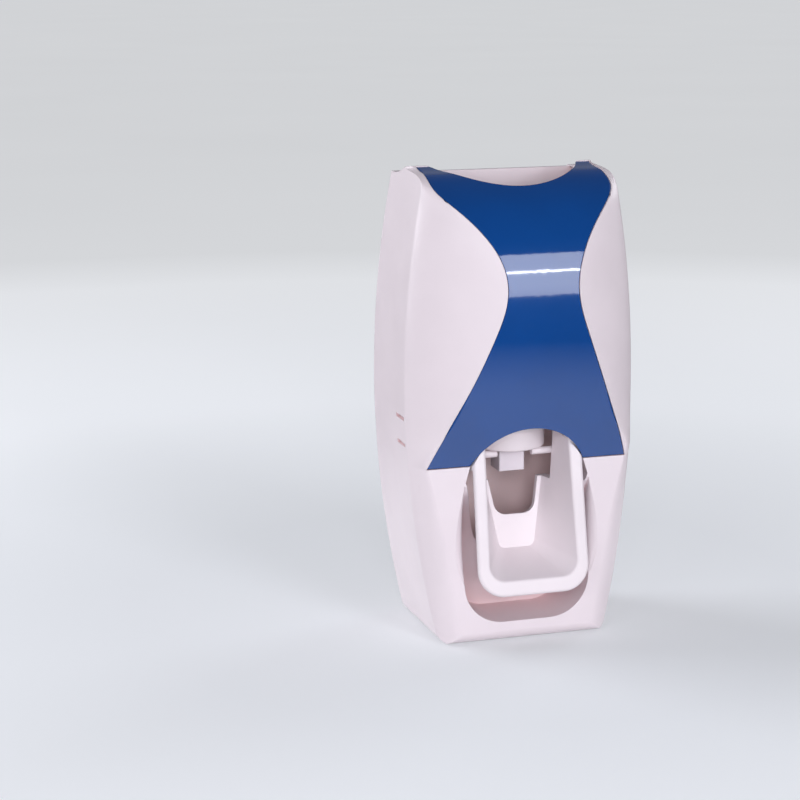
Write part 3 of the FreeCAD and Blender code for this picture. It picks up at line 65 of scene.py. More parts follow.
REAR_SCREW_PLACES = ((0.0306, 0.054), (-0.0306, 0.054), (0.0272, -0.062), (-0.0272, -0.062))
REAR_SCREW_TOP = -0.00115
COLLAR_SCREW_PLACES = (0.0169, -0.0169)
COLLAR_SCREW_TOP = 0.0107
BELLOWS_SKIN = (
    (10.6, 3.0), (10.6, 0.0), (9.4, -1.6), (11.3, -3.2), (9.4, -4.8),
    (11.3, -6.4), (9.4, -8.0), (8.2, -8.7), (8.2, -12.6),
)
SPRING_START = -0.00885
SPRING_END = 0.00225

# Screws: lengths in metres, the rest as shares of the head's or the shank's size

REAR_SCREW = {"height": 0.0013, "shank": 0.0012, "length": 0.009}
COLLAR_SCREW = {"height": 0.0012, "shank": 0.0009, "length": 0.0056}
SCREW_SEGMENTS = 64
HEAD_RINGS = 14
HEAD_FACE = 0.9
HEAD_DOME = 0.10
HEAD_SIDE = ((0.97, -0.16), (1.0, -0.30), (1.0, -0.94), (0.985, -1.0))
CROSS_ARM = 0.17
CROSS_REACH = 0.62
CROSS_SIDE_RAMP = 0.05
CROSS_END_RAMP = 0.08
CROSS_DEPTH = 0.55
THREAD_PITCH = 0.75
THREAD_DEPTH = 0.16
SHANK_LEVELS = 60
TIP_START = 0.85
TIP_TAPER = 0.55
SCREW_SHARP_ANGLE = math.radians(32)

# Other made pieces

SHARP_ANGLE = math.radians(40)
SPRING_STEPS = 72
WIRE_SEGMENTS = 14
BELLOWS_SEGMENTS = 96
FOLD_STEPS = 7
FOLD_SHARE = 0.42
MERGE_DISTANCE = 1e-7
PAD_CORNER_STEPS = 8
PAD_EDGE_STEPS = 8
PAD_EDGE_SHARE = 0.8

# Finishes

CLOUD_SCALE = 42.0
CLOUD_RANGE = (0.38, 0.66)
PATCH_SCALE = 110.0
PATCH_RANGE = (0.42, 0.7)
SPOT_SCALE = 400.0
SPOT_RANGE = (0.45, 0.65)
CELL_RANGE = (0.0, 0.25)
EDGE_RADIUS = 0.0003
EDGE_SAMPLES = 6
# Painted shade in recesses: ambient-occlusion samples and reach, and the openness where the painted shade
# starts and where it is full
RECESS_SAMPLES = 6
RECESS_REACH = 0.05
RECESS_OPEN = 0.65
RECESS_CLOSED = 0.25


def colour_property(name, description, default):
    return bpy.props.FloatVectorProperty(
        name=name, description=description, default=default, subtype="COLOR", size=3, min=0.0, max=1.0
    )


def length_property(name, description, default):
    return bpy.props.FloatProperty(
        name=name, description=description, default=default, min=0.0,
        subtype="DISTANCE", unit="LENGTH", precision=5,
    )


def power_property(name, description, default):
    return bpy.props.FloatProperty(
        name=name, description=description, default=default, min=0.0, unit="POWER"
    )


def share_property(name, description, default):
    return bpy.props.FloatProperty(
        name=name, description=description, default=default, min=0.0, max=1.0, subtype="FACTOR"
    )


class DispenserLooks(bpy.types.PropertyGroup):
    """Colours and finishes of the dispenser, with the shade colours painted into its recesses."""

    case_colour: colour_property("Case", "Colour of the case and its rear cover", (0.82, 0.72, 0.75))
    recess_shade_colour: colour_property(
        "Recesses", "Colour of the white plastic in recesses", (0.92, 0.66, 0.665)
    )
    inside_shade_colour: colour_property(
        "Inside", "Colour of the white plastic inside the cover", (0.98, 0.72, 0.71)
    )
    lever_colour: colour_property("Lever", "Colour of the push lever", (0.84, 0.75, 0.775))
    panel_colour: colour_property("Panel", "Colour of the front panel", (0.002, 0.056, 0.25))
    pump_colour: colour_property("Pump", "Colour of the hidden pump pieces", (0.78, 0.72, 0.73))
    plunger_colour: colour_property("Plunger", "Colour of the plunger ring", (0.80, 0.71, 0.73))
    nozzle_colour: colour_property("Nozzle", "Colour of the nozzle", (0.72, 0.65, 0.69))
    silicone_colour: colour_property(
        "Silicone", "Colour of the collar, bellows and valves", (0.72, 0.69, 0.66)
    )
    rubber_colour: colour_property("Rubber", "Colour of the seal ring", (0.03, 0.03, 0.032))
    steel_colour: colour_property("Steel", "Colour of screws, spring and pins", (0.58, 0.58, 0.59))
    foam_colour: colour_property("Foam", "Colour of the wall pad", (0.62, 0.62, 0.61))
    case_roughness: share_property("Case roughness", "Roughness of the white plastic", 0.38)
    panel_roughness: share_property("Panel roughness", "Roughness of the glossy panel", 0.07)


class DispenserSizes(bpy.types.PropertyGroup):
    """Sizes of the pieces that are made here."""

    pad_width: length_property("Pad width", "Width of the wall pad", 0.046)
    pad_height: length_property("Pad height", "Height of the wall pad", 0.090)
    pad_thickness: length_property("Pad thickness", "Thickness of the wall pad", 0.001)
    pad_corner: length_property("Pad corner", "Corner radius of the wall pad", 0.005)
    spring_radius: length_property("Spring radius", "Radius of the spring's centre line", 0.013)
    spring_wire: length_property("Spring wire", "Radius of the spring's wire", 0.00045)
    spring_turns: bpy.props.FloatProperty(
        name="Spring turns", description="Number of turns of the return spring", default=4.0, min=1.0
    )
    bellows_wall: length_property("Bellows wall", "Wall of the bellows", 0.0009)
    rear_screw_head: length_property("Rear screw head", "Head radius of the rear cover's screws", 0.0024)
    collar_screw_head: length_property("Collar screw head", "Head radius of the collar's screws", 0.0017)


class DispenserStage(bpy.types.PropertyGroup):
    """The floor, the light and the camera."""

    floor_colour: colour_property("Floor", "Colour of the floor", (0.62, 0.63, 0.65))
    horizon_colour: colour_property(
        "Horizon", "Colour of the surroundings at eye level", (0.80, 0.81, 0.83)
    )
    zenith_colour: colour_property("Zenith", "Colour of the surroundings overhead", (0.16, 0.17, 0.19))
    key_power: power_property("Key light", "Power of the front soft box", 5.5)
    side_power: power_property("Side light", "Power of the left rear soft box", 8.3)
    right_power: power_property("Right light", "Power of the right rear soft box", 3.0)
    left_power: power_property("Left light", "Power of the front left soft box", 0.95)
    fill_power: power_property("Fill light", "Power of the soft box beside the camera", 2.5)
    lens: bpy.props.FloatProperty(
        name="Lens", description="Focal length of the camera", default=92.01, min=1.0, unit="CAMERA"
    )


# Node helpers


def add_node(tree, kind, **settings):
    node = tree.nodes.new(kind)
    for name, value in settings.items():
        setattr(node, name, value)
    return node


def set_inputs(node, **values):
    for name, value in values.items():
        node.inputs[name.replace("_", " ")].default_value = value
    return node


def join(tree, source, target):
    tree.links.new(source, target)


def rgba(colour):
    return (*colour[:3], 1.0)


def new_group(name, inputs, outputs):
    """A shader node group with float sockets, and colour sockets where the name says Colour."""
    group = bpy.data.node_groups.new(name, "ShaderNodeTree")
    for in_out, names in (("INPUT", inputs), ("OUTPUT", outputs)):
        for socket in names:
            kind = "NodeSocketColor" if "Colour" in socket else "NodeSocketFloat"
            group.interface.new_socket(socket, in_out=in_out, socket_type=kind)
    return group, add_node(group, "NodeGroupInput"), add_node(group, "NodeGroupOutput")


def noise(tree, coordinates, scale=1.0, detail=2.0, roughness=0.5):
    node = add_node(tree, "ShaderNodeTexNoise")
    set_inputs(node, Scale=scale, Detail=detail, Roughness=roughness)
    join(tree, coordinates, node.inputs["Vector"])
    return node


def ranged(tree, source, low, high, to_low=0.0, to_high=1.0):
    node = add_node(tree, "ShaderNodeMapRange")
    set_inputs(node, From_Min=low, From_Max=high, To_Min=to_low, To_Max=to_high)
    join(tree, source, node.inputs["Value"])
    return node.outputs["Result"]


def blended(tree, factor, first, second):
    """Two colours mixed by a mask. A colour may be a socket or plain numbers."""
    node = add_node(tree, "ShaderNodeMix", data_type="RGBA")
    join(tree, factor, node.inputs["Factor"])
    for name, value in (("A", first), ("B", second)):
        socket = [s for s in node.inputs if s.name == name and s.type == "RGBA"][0]
        if isinstance(value, bpy.types.NodeSocket):
            join(tree, value, socket)
        else:
            socket.default_value = rgba(value)
    return [s for s in node.outputs if s.type == "RGBA"][0]


def product(tree, first, second):
    node = add_node(tree, "ShaderNodeMath", operation="MULTIPLY")
    join(tree, first, node.inputs[0])
    join(tree, second, node.inputs[1])
    return node.outputs[0]


def spread(tree, mask, amount, base):
    """base + mask * amount, where amount and base are sockets."""
    node = add_node(tree, "ShaderNodeMath", operation="MULTIPLY_ADD")
    for socket, source in zip(node.inputs, (mask, amount, base)):
        join(tree, source, socket)
    return node.outputs[0]


def moulded_group():
    """Moulded plastic: faint clouding, a fine mould grain and handled patches."""
    group, given, made = new_group(
        "Moulded Plastic",
        ("Colour", "Shade Colour", "Grain Scale", "Roughness", "Roughness Spread"),
        ("Colour", "Roughness", "Height"),
    )
    place = add_node(group, "ShaderNodeTexCoord").outputs["Object"]
    clouds = noise(group, place, CLOUD_SCALE, detail=3.0)
    cloud = ranged(group, clouds.outputs["Fac"], *CLOUD_RANGE)
    clouded = blended(group, cloud, given.outputs["Colour"], given.outputs["Shade Colour"])
    join(group, clouded, made.inputs["Colour"])
    marks = noise(group, place, PATCH_SCALE, detail=4.0, roughness=0.6)
    patch = ranged(group, marks.outputs["Fac"], *PATCH_RANGE)
    rough = spread(group, patch, given.outputs["Roughness Spread"], given.outputs["Roughness"])
    join(group, rough, made.inputs["Roughness"])
    grain = noise(group, place)
    join(group, given.outputs["Grain Scale"], grain.inputs["Scale"])
    join(group, grain.outputs["Fac"], made.inputs["Height"])
    return group


def metal_group():
    """Drawn or turned steel: fine streaks and duller spots."""
    group, given, made = new_group(
        "Worked Steel",
        ("Colour", "Dull Colour", "Streak Scale", "Roughness", "Roughness Spread"),
        ("Colour", "Roughness", "Height"),
    )
    place = add_node(group, "ShaderNodeTexCoord").outputs["Object"]
    streaks = noise(group, place, detail=3.0, roughness=0.7)
    join(group, given.outputs["Streak Scale"], streaks.inputs["Scale"])
    dulled = noise(group, place, SPOT_SCALE, detail=4.0)
    spots = ranged(group, dulled.outputs["Fac"], *SPOT_RANGE)
    spotted = blended(group, spots, given.outputs["Colour"], given.outputs["Dull Colour"])
    join(group, spotted, made.inputs["Colour"])
    streak = streaks.outputs["Fac"]
    rough = spread(group, streak, given.outputs["Roughness Spread"], given.outputs["Roughness"])
    join(group, rough, made.inputs["Roughness"])
    join(group, streak, made.inputs["Height"])
    return group


def foam_group():
    """Closed-cell foam: small cells with darker bounds."""
    group, given, made = new_group(
        "Foam Cells", ("Colour", "Shade Colour", "Cell Scale"), ("Colour", "Height")
    )
    place = add_node(group, "ShaderNodeTexCoord").outputs["Object"]
    cells = add_node(group, "ShaderNodeTexVoronoi", feature="DISTANCE_TO_EDGE")
    join(group, place, cells.inputs["Vector"])
    join(group, given.outputs["Cell Scale"], cells.inputs["Scale"])
    inside = ranged(group, cells.outputs["Distance"], *CELL_RANGE)
    celled = blended(group, inside, given.outputs["Shade Colour"], given.outputs["Colour"])
    join(group, celled, made.inputs["Colour"])
    join(group, inside, made.inputs["Height"])
    return group


def painted_recess_shade_group(name, alone):
    """A painted shade colour in recesses: those of the piece alone, or those it forms with others too."""
    group, given, made = new_group(name, ("Colour", "Painted Shade Colour"), ("Colour",))
    openness = add_node(group, "ShaderNodeAmbientOcclusion", samples=RECESS_SAMPLES, only_local=alone)
    set_inputs(openness, Distance=RECESS_REACH)
    # Painted shade: the more closed in the surface, the more of the shade colour is painted into its base
    # colour
    painted_shade_mask = ranged(group, openness.outputs["AO"], RECESS_OPEN, RECESS_CLOSED)
    with_painted_shade = blended(group, painted_shade_mask, given.outputs["Colour"], given.outputs["Painted Shade Colour"])
    join(group, with_painted_shade, made.inputs["Colour"])
    return group


SHARED_GROUPS = {
    "Moulded Plastic": moulded_group,
    "Worked Steel": metal_group,
    "Foam Cells": foam_group,
}


def finished_material(name, group_name, values, bump_distance, edge_radius=0.0, **shading):
    """A Principled material fed by one of the shared groups, with its bump and softened edges."""
    material = bpy.data.materials.new(name + FINISH)
    material.use_nodes = True
    tree = material.node_tree
    shader = tree.nodes["Principled BSDF"]
    set_inputs(shader, **shading)
    group = bpy.data.node_groups.get(group_name) or SHARED_GROUPS[group_name]()
    effect = add_node(tree, "ShaderNodeGroup", node_tree=group)
    for socket, value in values.items():
        effect.inputs[socket].default_value = rgba(value) if "Colour" in socket else value
    join(tree, effect.outputs["Colour"], shader.inputs["Base Color"])
    if "Roughness" in effect.outputs:
        join(tree, effect.outputs["Roughness"], shader.inputs["Roughness"])
    bump = set_inputs(add_node(tree, "ShaderNodeBump"), Strength=1.0, Distance=bump_distance)
    join(tree, effect.outputs["Height"], bump.inputs["Height"])
    if edge_radius:
        edge = set_inputs(add_node(tree, "ShaderNodeBevel", samples=EDGE_SAMPLES), Radius=edge_radius)
        join(tree, edge.outputs["Normal"], bump.inputs["Normal"])
    join(tree, bump.outputs["Normal"], shader.inputs["Normal"])
    return material


def shaded(colour, share):
    return tuple(channel * share for channel in colour[:3])


def plastic(name, colour, roughness, grain_depth=4e-6, grain_scale=2600.0, shade=0.965, **shading):
    values = {
        "Colour": colour,
        "Shade Colour": shaded(colour, shade),
        "Grain Scale": grain_scale,
        "Roughness": roughness,
        "Roughness Spread": 0.10,
    }
    return finished_material(name, "Moulded Plastic", values, grain_depth, EDGE_RADIUS, **shading)


def plastic_with_painted_shade(name, colour, recess, roughness, alone=True):
    """Plastic with a warm shade painted down in its recesses."""
    material = plastic(name, colour, roughness)
    tree = material.node_tree
    base = tree.nodes["Principled BSDF"].inputs["Base Color"]
    group = painted_recess_shade_group("Painted Recess Shade" if alone else "Painted Enclosed Shade", alone)
    effect = add_node(tree, "ShaderNodeGroup", node_tree=group)
    effect.inputs["Painted Shade Colour"].default_value = rgba(recess)
    join(tree, base.links[0].from_socket, effect.inputs["Colour"])
    join(tree, effect.outputs["Colour"], base)
    return material


def gloss(name, colour, roughness):
    values = {
        "Colour": colour,
        "Shade Colour": shaded(colour, share=0.93),
        "Grain Scale": 260.0,
        "Roughness": roughness,
        "Roughness Spread": 0.03,
    }
    return finished_material(
        name, "Moulded Plastic", values, bump_distance=1.5e-6, edge_radius=EDGE_RADIUS,
        Coat_Weight=0.35, Coat_Roughness=0.03,
    )


def silicone(name, colour):
    values = {
        "Colour": colour,
        "Shade Colour": shaded(colour, share=0.9),
        "Grain Scale": 1500.0,
        "Roughness": 0.42,
        "Roughness Spread": 0.18,
    }
    return finished_material(
        name, "Moulded Plastic", values, bump_distance=6e-6, Subsurface_Weight=0.25, Subsurface_Scale=0.002
    )


def steel(name, colour, roughness, streaks):
    values = {
        "Colour": colour,
        "Dull Colour": shaded(colour, share=0.72),
        "Streak Scale": streaks,
        "Roughness": roughness,
        "Roughness Spread": 0.18,
    }
    return finished_material(name, "Worked Steel", values, bump_distance=2e-6, Metallic=1.0)


def foam(name, colour):
    values = {"Colour": colour, "Shade Colour": shaded(colour, share=0.6), "Cell Scale": 1400.0}
    return finished_material(
        name, "Foam Cells", values, bump_distance=6e-5, Roughness=0.92, Sheen_Weight=0.1
    )


MATERIAL_MAKERS = {
    # The case gets a warm shade painted into its own recesses
    "case_white": lambda looks: plastic_with_painted_shade(
        "case_white", looks.case_colour, looks.recess_shade_colour, looks.case_roughness
    ),
    # The rear cover gets a warm shade painted where it and the other pieces close each other in
    "cover_white": lambda looks: plastic_with_painted_shade(
        "cover_white", looks.case_colour, looks.inside_shade_colour, looks.case_roughness, alone=False
    ),
    "lever_white": lambda looks: plastic("lever_white", looks.lever_colour, looks.case_roughness),
    "panel_blue": lambda looks: gloss("panel_blue", looks.panel_colour, looks.panel_roughness),
    "pump_white": lambda looks: plastic("pump_white", looks.pump_colour, roughness=0.45, shade=0.94),
    "plunger_cream": lambda looks: plastic(
        "plunger_cream", looks.plunger_colour, roughness=0.4, shade=0.95
    ),
    "nozzle_white": lambda looks: plastic("nozzle_white", looks.nozzle_colour, roughness=0.4),
    "soft_silicone": lambda looks: silicone("soft_silicone", looks.silicone_colour),
    "seal_rubber": lambda looks: plastic(
        "seal_rubber", looks.rubber_colour, roughness=0.6, grain_depth=8e-6, grain_scale=1800.0, shade=0.7
    ),
    "screw_steel": lambda looks: steel("screw_steel", looks.steel_colour, roughness=0.24, streaks=3000.0),
    "spring_steel": lambda looks: steel(
        "spring_steel", shaded(looks.steel_colour, share=0.85), roughness=0.2, streaks=6000.0
    ),
    "pin_steel": lambda looks: steel("pin_steel", looks.steel_colour, roughness=0.16, streaks=4000.0),
    "pad_foam": lambda looks: foam("pad_foam", looks.foam_colour),
}


def material_for(slot):
    """The finish of a material slot, made once."""
    looks = bpy.context.scene.dispenser_looks
    return bpy.data.materials.get(slot + FINISH) or MATERIAL_MAKERS[slot](looks)


def finish_node(node, slot, look=None):
    """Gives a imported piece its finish: that of its slot, or another look."""
    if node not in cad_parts:
        raise RuntimeError(f"the frame has no piece named {node}")
    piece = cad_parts[node]
    piece.data.materials.clear()
    piece.data.materials.append(material_for(look or slot))


# Mesh helpers


def mesh_object(name, mesh, smooth_angle=SHARP_ANGLE):
    mesh.validate()
    for face in mesh.polygons:
        face.use_smooth = True
    mesh.set_sharp_from_angle(angle=smooth_angle)
    piece = bpy.data.objects.new(name, mesh)
    bpy.context.scene.collection.objects.link(piece)
    return piece


def grid_mesh(name, rows, cap_first=True, cap_last=True):
    """A closed mesh from rings of points, with its ends closed."""
    form = bmesh.new()
    rings = [[form.verts.new(point) for point in row] for row in rows]
    count = len(rings[0])
    for low, high in zip(rings, rings[1:]):
        for i in range(count):
            j = (i + 1) % count
            form.faces.new((low[i], low[j], high[j], high[i]))
    if cap_first:
        form.faces.new(list(reversed(rings[0])))
    if cap_last:
        form.faces.new(rings[-1])
    bmesh.ops.recalc_face_normals(form, faces=form.faces)
    mesh = bpy.data.meshes.new(name)
    form.to_mesh(mesh)
    form.free()
    return mesh


def ring(radius, height, count, centre=PUMP_AXIS):
    steps = (TURN * i / count for i in range(count))
    return [(centre.x + radius * math.cos(a), centre.y + radius * math.sin(a), height) for a in steps]


def stand_in(piece, body, slot, *nodes):
    """Lets a made piece ride on its body in place of packed ones."""
    if not piece.data.materials:
        piece.data.materials.append(material_for(slot))
    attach(piece, body)
    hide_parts(*nodes)


def baked_nodes(name, base, tree, values):
    """Runs a Geometry Nodes tree on a base object and returns its result as a plain mesh object."""
    modifier = base.modifiers.new(tree.name, "NODES")
    modifier.node_group = tree
    for item in tree.interface.items_tree:
        if item.in_out == "INPUT" and item.name in values:
            modifier[item.identifier] = values[item.name]
    bpy.context.view_layer.update()
    depsgraph = bpy.context.evaluated_depsgraph_get()
    mesh = bpy.data.meshes.new_from_object(base.evaluated_get(depsgraph))
    base.modifiers.remove(modifier)
    bpy.data.objects.remove(base)
    if not mesh.polygons:
        raise RuntimeError(f"{name} came out empty")
    mesh.name = name
    return mesh_object(name, mesh)


def geometry_tree(name, inputs):
    tree = bpy.data.node_groups.new(name, "GeometryNodeTree")
    tree.interface.new_socket("Geometry", in_out="OUTPUT", socket_type="NodeSocketGeometry")
    for socket, kind in inputs.items():
        tree.interface.new_socket(socket, in_out="INPUT", socket_type=kind)
    return tree, add_node(tree, "NodeGroupInput"), add_node(tree, "NodeGroupOutput")


def close_tree(tree, given, made, geometry):
    """Ends a tree in real geometry with its material."""
    real = add_node(tree, "GeometryNodeRealizeInstances")
    paint = add_node(tree, "GeometryNodeSetMaterial")
    join(tree, geometry, real.inputs["Geometry"])
    join(tree, real.outputs["Geometry"], paint.inputs["Geometry"])
    join(tree, given.outputs["Material"], paint.inputs["Material"])
    join(tree, paint.outputs["Geometry"], made.inputs["Geometry"])


# Screws


def cross_recess(x, y, radius, depth):
    """How far a cross recess goes down at a point of a screw's head."""
    near, far = sorted((abs(x), abs(y)))
    beside = (CROSS_ARM * radius - near) / (CROSS_SIDE_RAMP * radius)
    along = (CROSS_REACH * radius - far) / (CROSS_END_RAMP * radius)
    inside = min(1.0, max(0.0, beside)) * min(1.0, max(0.0, along))
    return depth * inside


def head_ring(head, height, step):
    """One ring of points on the face of a screw's head, sunk where the cross is."""
    radius = head * HEAD_FACE * (step + 0.5) / (HEAD_RINGS - 0.5)
    dome = HEAD_DOME * height * (radius / head) ** 2
    row = []
    for x, y, _ in ring(radius, 0.0, SCREW_SEGMENTS, Vector()):
        row.append((x, y, -dome - cross_recess(x, y, head, CROSS_DEPTH * height)))
    return row


def thread_ring(height, shank, length, step):
    """One ring of points on a screw's threaded shank."""
    drop = length * step / SHANK_LEVELS
    pitch = shank * THREAD_PITCH
    thread = shank * THREAD_DEPTH
    taper = 1.0
    if drop >= length * TIP_START:
        taper -= TIP_TAPER * (drop / length - TIP_START) / (1.0 - TIP_START)
    row = []
    for i in range(SCREW_SEGMENTS):
        angle = TURN * i / SCREW_SEGMENTS
        wave = abs(((drop / pitch - i / SCREW_SEGMENTS) % 1.0) * 2.0 - 1.0)
        radius = (shank - thread * wave) * taper
        row.append((radius * math.cos(angle), radius * math.sin(angle), -height - drop))
    return row


def screw_blank(name, head, height, shank, length):
    """A pan-head screw with a cross recess and a threaded shank, head up, top at the origin."""
    rows = [head_ring(head, height, step) for step in range(HEAD_RINGS)]
    for across, down in HEAD_SIDE:
        rows.append(ring(head * across, height * down, SCREW_SEGMENTS, Vector()))
    rows.append(ring(shank, -height, SCREW_SEGMENTS, Vector()))
    for step in range(SHANK_LEVELS + 1):
        rows.append(thread_ring(height, shank, length, step))
    return mesh_object(name, grid_mesh(name, rows), SCREW_SHARP_ANGLE)


def screw_tree():
    """Sets one screw at each point, turned to face a way and spun at random."""
    tree, given, made = geometry_tree(
        "Set Screws",
        {
            "Points": "NodeSocketGeometry",
            "Screw": "NodeSocketObject",
            "Facing": "NodeSocketRotation",
            "Seed": "NodeSocketInt",
            "Material": "NodeSocketMaterial",
        },
    )
    screw = add_node(tree, "GeometryNodeObjectInfo")
    join(tree, given.outputs["Screw"], screw.inputs["Object"])
    spin = add_node(tree, "FunctionNodeRandomValue", data_type="FLOAT")
    join(tree, given.outputs["Seed"], spin.inputs["Seed"])
    angle = add_node(tree, "ShaderNodeMath", operation="MULTIPLY")
    angle.inputs[1].default_value = math.pi
    chance = [s for s in spin.outputs if s.type == "VALUE" and s.enabled][0]
    join(tree, chance, angle.inputs[0])
    about = add_node(tree, "FunctionNodeAxisAngleToRotation")
    join(tree, angle.outputs[0], about.inputs["Angle"])
    turned = add_node(tree, "FunctionNodeRotateRotation", rotation_space="LOCAL")
    join(tree, given.outputs["Facing"], turned.inputs["Rotation"])
    join(tree, about.outputs["Rotation"], turned.inputs["Rotate By"])
    spots = add_node(tree, "GeometryNodeInstanceOnPoints")
    join(tree, given.outputs["Points"], spots.inputs["Points"])
    join(tree, screw.outputs["Geometry"], spots.inputs["Instance"])
    join(tree, turned.outputs["Rotation"], spots.inputs["Rotation"])
    close_tree(tree, given, made, spots.outputs["Instances"])
    return tree


def set_screws(name, blank, points, facing, slot):
    """Sets a screw at each of the points and returns them as one piece."""
    mesh = bpy.data.meshes.new(name + "_points")
    mesh.from_pydata(points, [], [])
    base = bpy.data.objects.new(name + "_points", mesh)
    bpy.context.scene.collection.objects.link(base)
    tree = bpy.data.node_groups.get("Set Screws") or screw_tree()
    values = {"Screw": blank, "Facing": facing, "Seed": SEED, "Material": material_for(slot)}
    piece = baked_nodes(name, base, tree, values)
    bpy.data.objects.remove(blank)
    return piece


# Spring


def coil_tree():
    """Winds a wire into a coil that stands on its centre."""
    tree, given, made = geometry_tree(
        "Coil",
        {
            "Radius": "NodeSocketFloat",
            "Wire": "NodeSocketFloat",
            "Turns": "NodeSocketFloat",
            "Height": "NodeSocketFloat",
            "Centre": "NodeSocketVector",
            "Material": "NodeSocketMaterial",
        },
    )
    path = set_inputs(add_node(tree, "GeometryNodeCurveSpiral"), Resolution=SPRING_STEPS)
    for source, targets in (
        ("Turns", ("Rotations",)), ("Radius", ("Start Radius", "End Radius")), ("Height", ("Height",)),
    ):
        for target in targets:
            join(tree, given.outputs[source], path.inputs[target])
    wire = set_inputs(add_node(tree, "GeometryNodeCurvePrimitiveCircle"), Resolution=WIRE_SEGMENTS)
    join(tree, given.outputs["Wire"], wire.inputs["Radius"])
    tube = set_inputs(add_node(tree, "GeometryNodeCurveToMesh"), Fill_Caps=True)
    join(tree, path.outputs["Curve"], tube.inputs["Curve"])
    join(tree, wire.outputs["Curve"], tube.inputs["Profile Curve"])
    place = add_node(tree, "GeometryNodeTransform")
    join(tree, tube.outputs["Mesh"], place.inputs["Geometry"])
    join(tree, given.outputs["Centre"], place.inputs["Translation"])
    close_tree(tree, given, made, place.outputs["Geometry"])
    return tree


# Bellows and pad


def rounded_profile(points, steps=FOLD_STEPS, share=FOLD_SHARE):
    """The corners of an open profile replaced by soft curves."""
    out = [points[0]]
    for before, here, after in zip(points, points[1:], points[2:]):
        start = here.lerp(before, share)
        end = here.lerp(after, share)
        for i in range(steps + 1):
            t = i / steps
            out.append(start.lerp(here, t).lerp(here.lerp(end, t), t))
    out.append(points[-1])
    return out


def bellows_mesh(wall):
    """The bellows' folded skin and its lining, closed into one wall."""
    skin = rounded_profile([Vector((r * MM, z * MM)) for r, z in BELLOWS_SKIN])
    lining = [Vector((p.x - wall, p.y)) for p in reversed(skin)]
    rows = [ring(p.x, p.y, BELLOWS_SEGMENTS) for p in skin + lining]
    rows.append(rows[0])
    mesh = grid_mesh("pump_bellows_folds", rows, False, False)
    form = bmesh.new()
    form.from_mesh(mesh)
    bmesh.ops.remove_doubles(form, verts=form.verts, dist=MERGE_DISTANCE)
    bmesh.ops.recalc_face_normals(form, faces=form.faces)
    form.to_mesh(mesh)
    form.free()
    return mesh


def rounded_rectangle(half_width, half_height, radius, steps=PAD_CORNER_STEPS):
    """The corner points of a rectangle with round corners."""
    points = []
    for index, (sx, sz) in enumerate(((1, 1), (-1, 1), (-1, -1), (1, -1))):
        for step in range(steps + 1):
            a = (index + step / steps) * math.pi / 2
            points.append((
                sx * (half_width - radius) + radius * math.cos(a),
                sz * (half_height - radius) + radius * math.sin(a),
            ))
    return points


def pad_mesh(sizes):
    """The wall pad: a foam slab with softly cut edges."""
    half = sizes.pad_thickness / 2
    edge = half * PAD_EDGE_SHARE
    rows = []
    for step in range(PAD_EDGE_STEPS + 1):
        a = math.pi * (step / PAD_EDGE_STEPS - 0.5)
        inset = edge * (1 - math.cos(a))
        across = sizes.pad_width / 2 - inset
        along = sizes.pad_height / 2 - inset
        outline = rounded_rectangle(across, along, sizes.pad_corner)
        y = -half + half * math.sin(a)
        rows.append([(x, y, z) for x, z in outline])
    return grid_mesh("wall_pad_foam", rows)


# Operators


class DispenserOperator:
    bl_options = {"REGISTER", "UNDO"}


class DISPENSER_OT_case(DispenserOperator, bpy.types.Operator):
    """Finish the white case and its rear cover"""

    bl_idname = "dispenser.case"
    bl_label = "Case"

    def execute(self, context):
        finish_node("case_shell", "case_white")
        finish_node("rear_cover", "case_white", "cover_white")
        return {"FINISHED"}


class DISPENSER_OT_panel(DispenserOperator, bpy.types.Operator):
    """Finish the glossy front panel"""

    bl_idname = "dispenser.panel"
    bl_label = "Front Panel"

    def execute(self, context):
        finish_node("front_panel", "panel_blue")
        return {"FINISHED"}


class DISPENSER_OT_lever(DispenserOperator, bpy.types.Operator):
    """Finish the push lever and its two pins"""

    bl_idname = "dispenser.lever"
    bl_label = "Push Lever"

    def execute(self, context):
        finish_node("push_lever", "lever_white")
        finish_node("hinge_pin_left", "pin_steel")
        finish_node("hinge_pin_right", "pin_steel")
        return {"FINISHED"}


class DISPENSER_OT_pump(DispenserOperator, bpy.types.Operator):
    """Finish the pump's carrier, collar, clamp and valves"""

    bl_idname = "dispenser.pump"
    bl_label = "Pump"

    def execute(self, context):
        for node in ("pump_carrier", "collar_clamp", "inlet_valve_seat"):
            finish_node(node, "pump_white")
        for node in ("tube_collar", "inlet_valve", "outlet_valve"):
            finish_node(node, "soft_silicone")
        return {"FINISHED"}


class DISPENSER_OT_plunger(DispenserOperator, bpy.types.Operator):
    """Finish the plunger ring, the nozzle and its seal"""

    bl_idname = "dispenser.plunger"
    bl_label = "Plunger and Nozzle"

    def execute(self, context):
        finish_node("plunger_ring", "plunger_cream")
        finish_node("nozzle", "nozzle_white")
        finish_node("nozzle_seal", "seal_rubber")
        return {"FINISHED"}


class DISPENSER_OT_bellows(DispenserOperator, bpy.types.Operator):
    """Make the folded silicone bellows as a fixed piece on the housing; the real one shortens as the
    plunger lifts
    """

    bl_idname = "dispenser.bellows"
    bl_label = "Bellows"

    def execute(self, context):
        wall = context.scene.dispenser_sizes.bellows_wall
        piece = mesh_object("pump_bellows_folds", bellows_mesh(wall))
        stand_in(piece, "housing", "soft_silicone", "pump_bellows")
        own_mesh(piece)
        return {"FINISHED"}


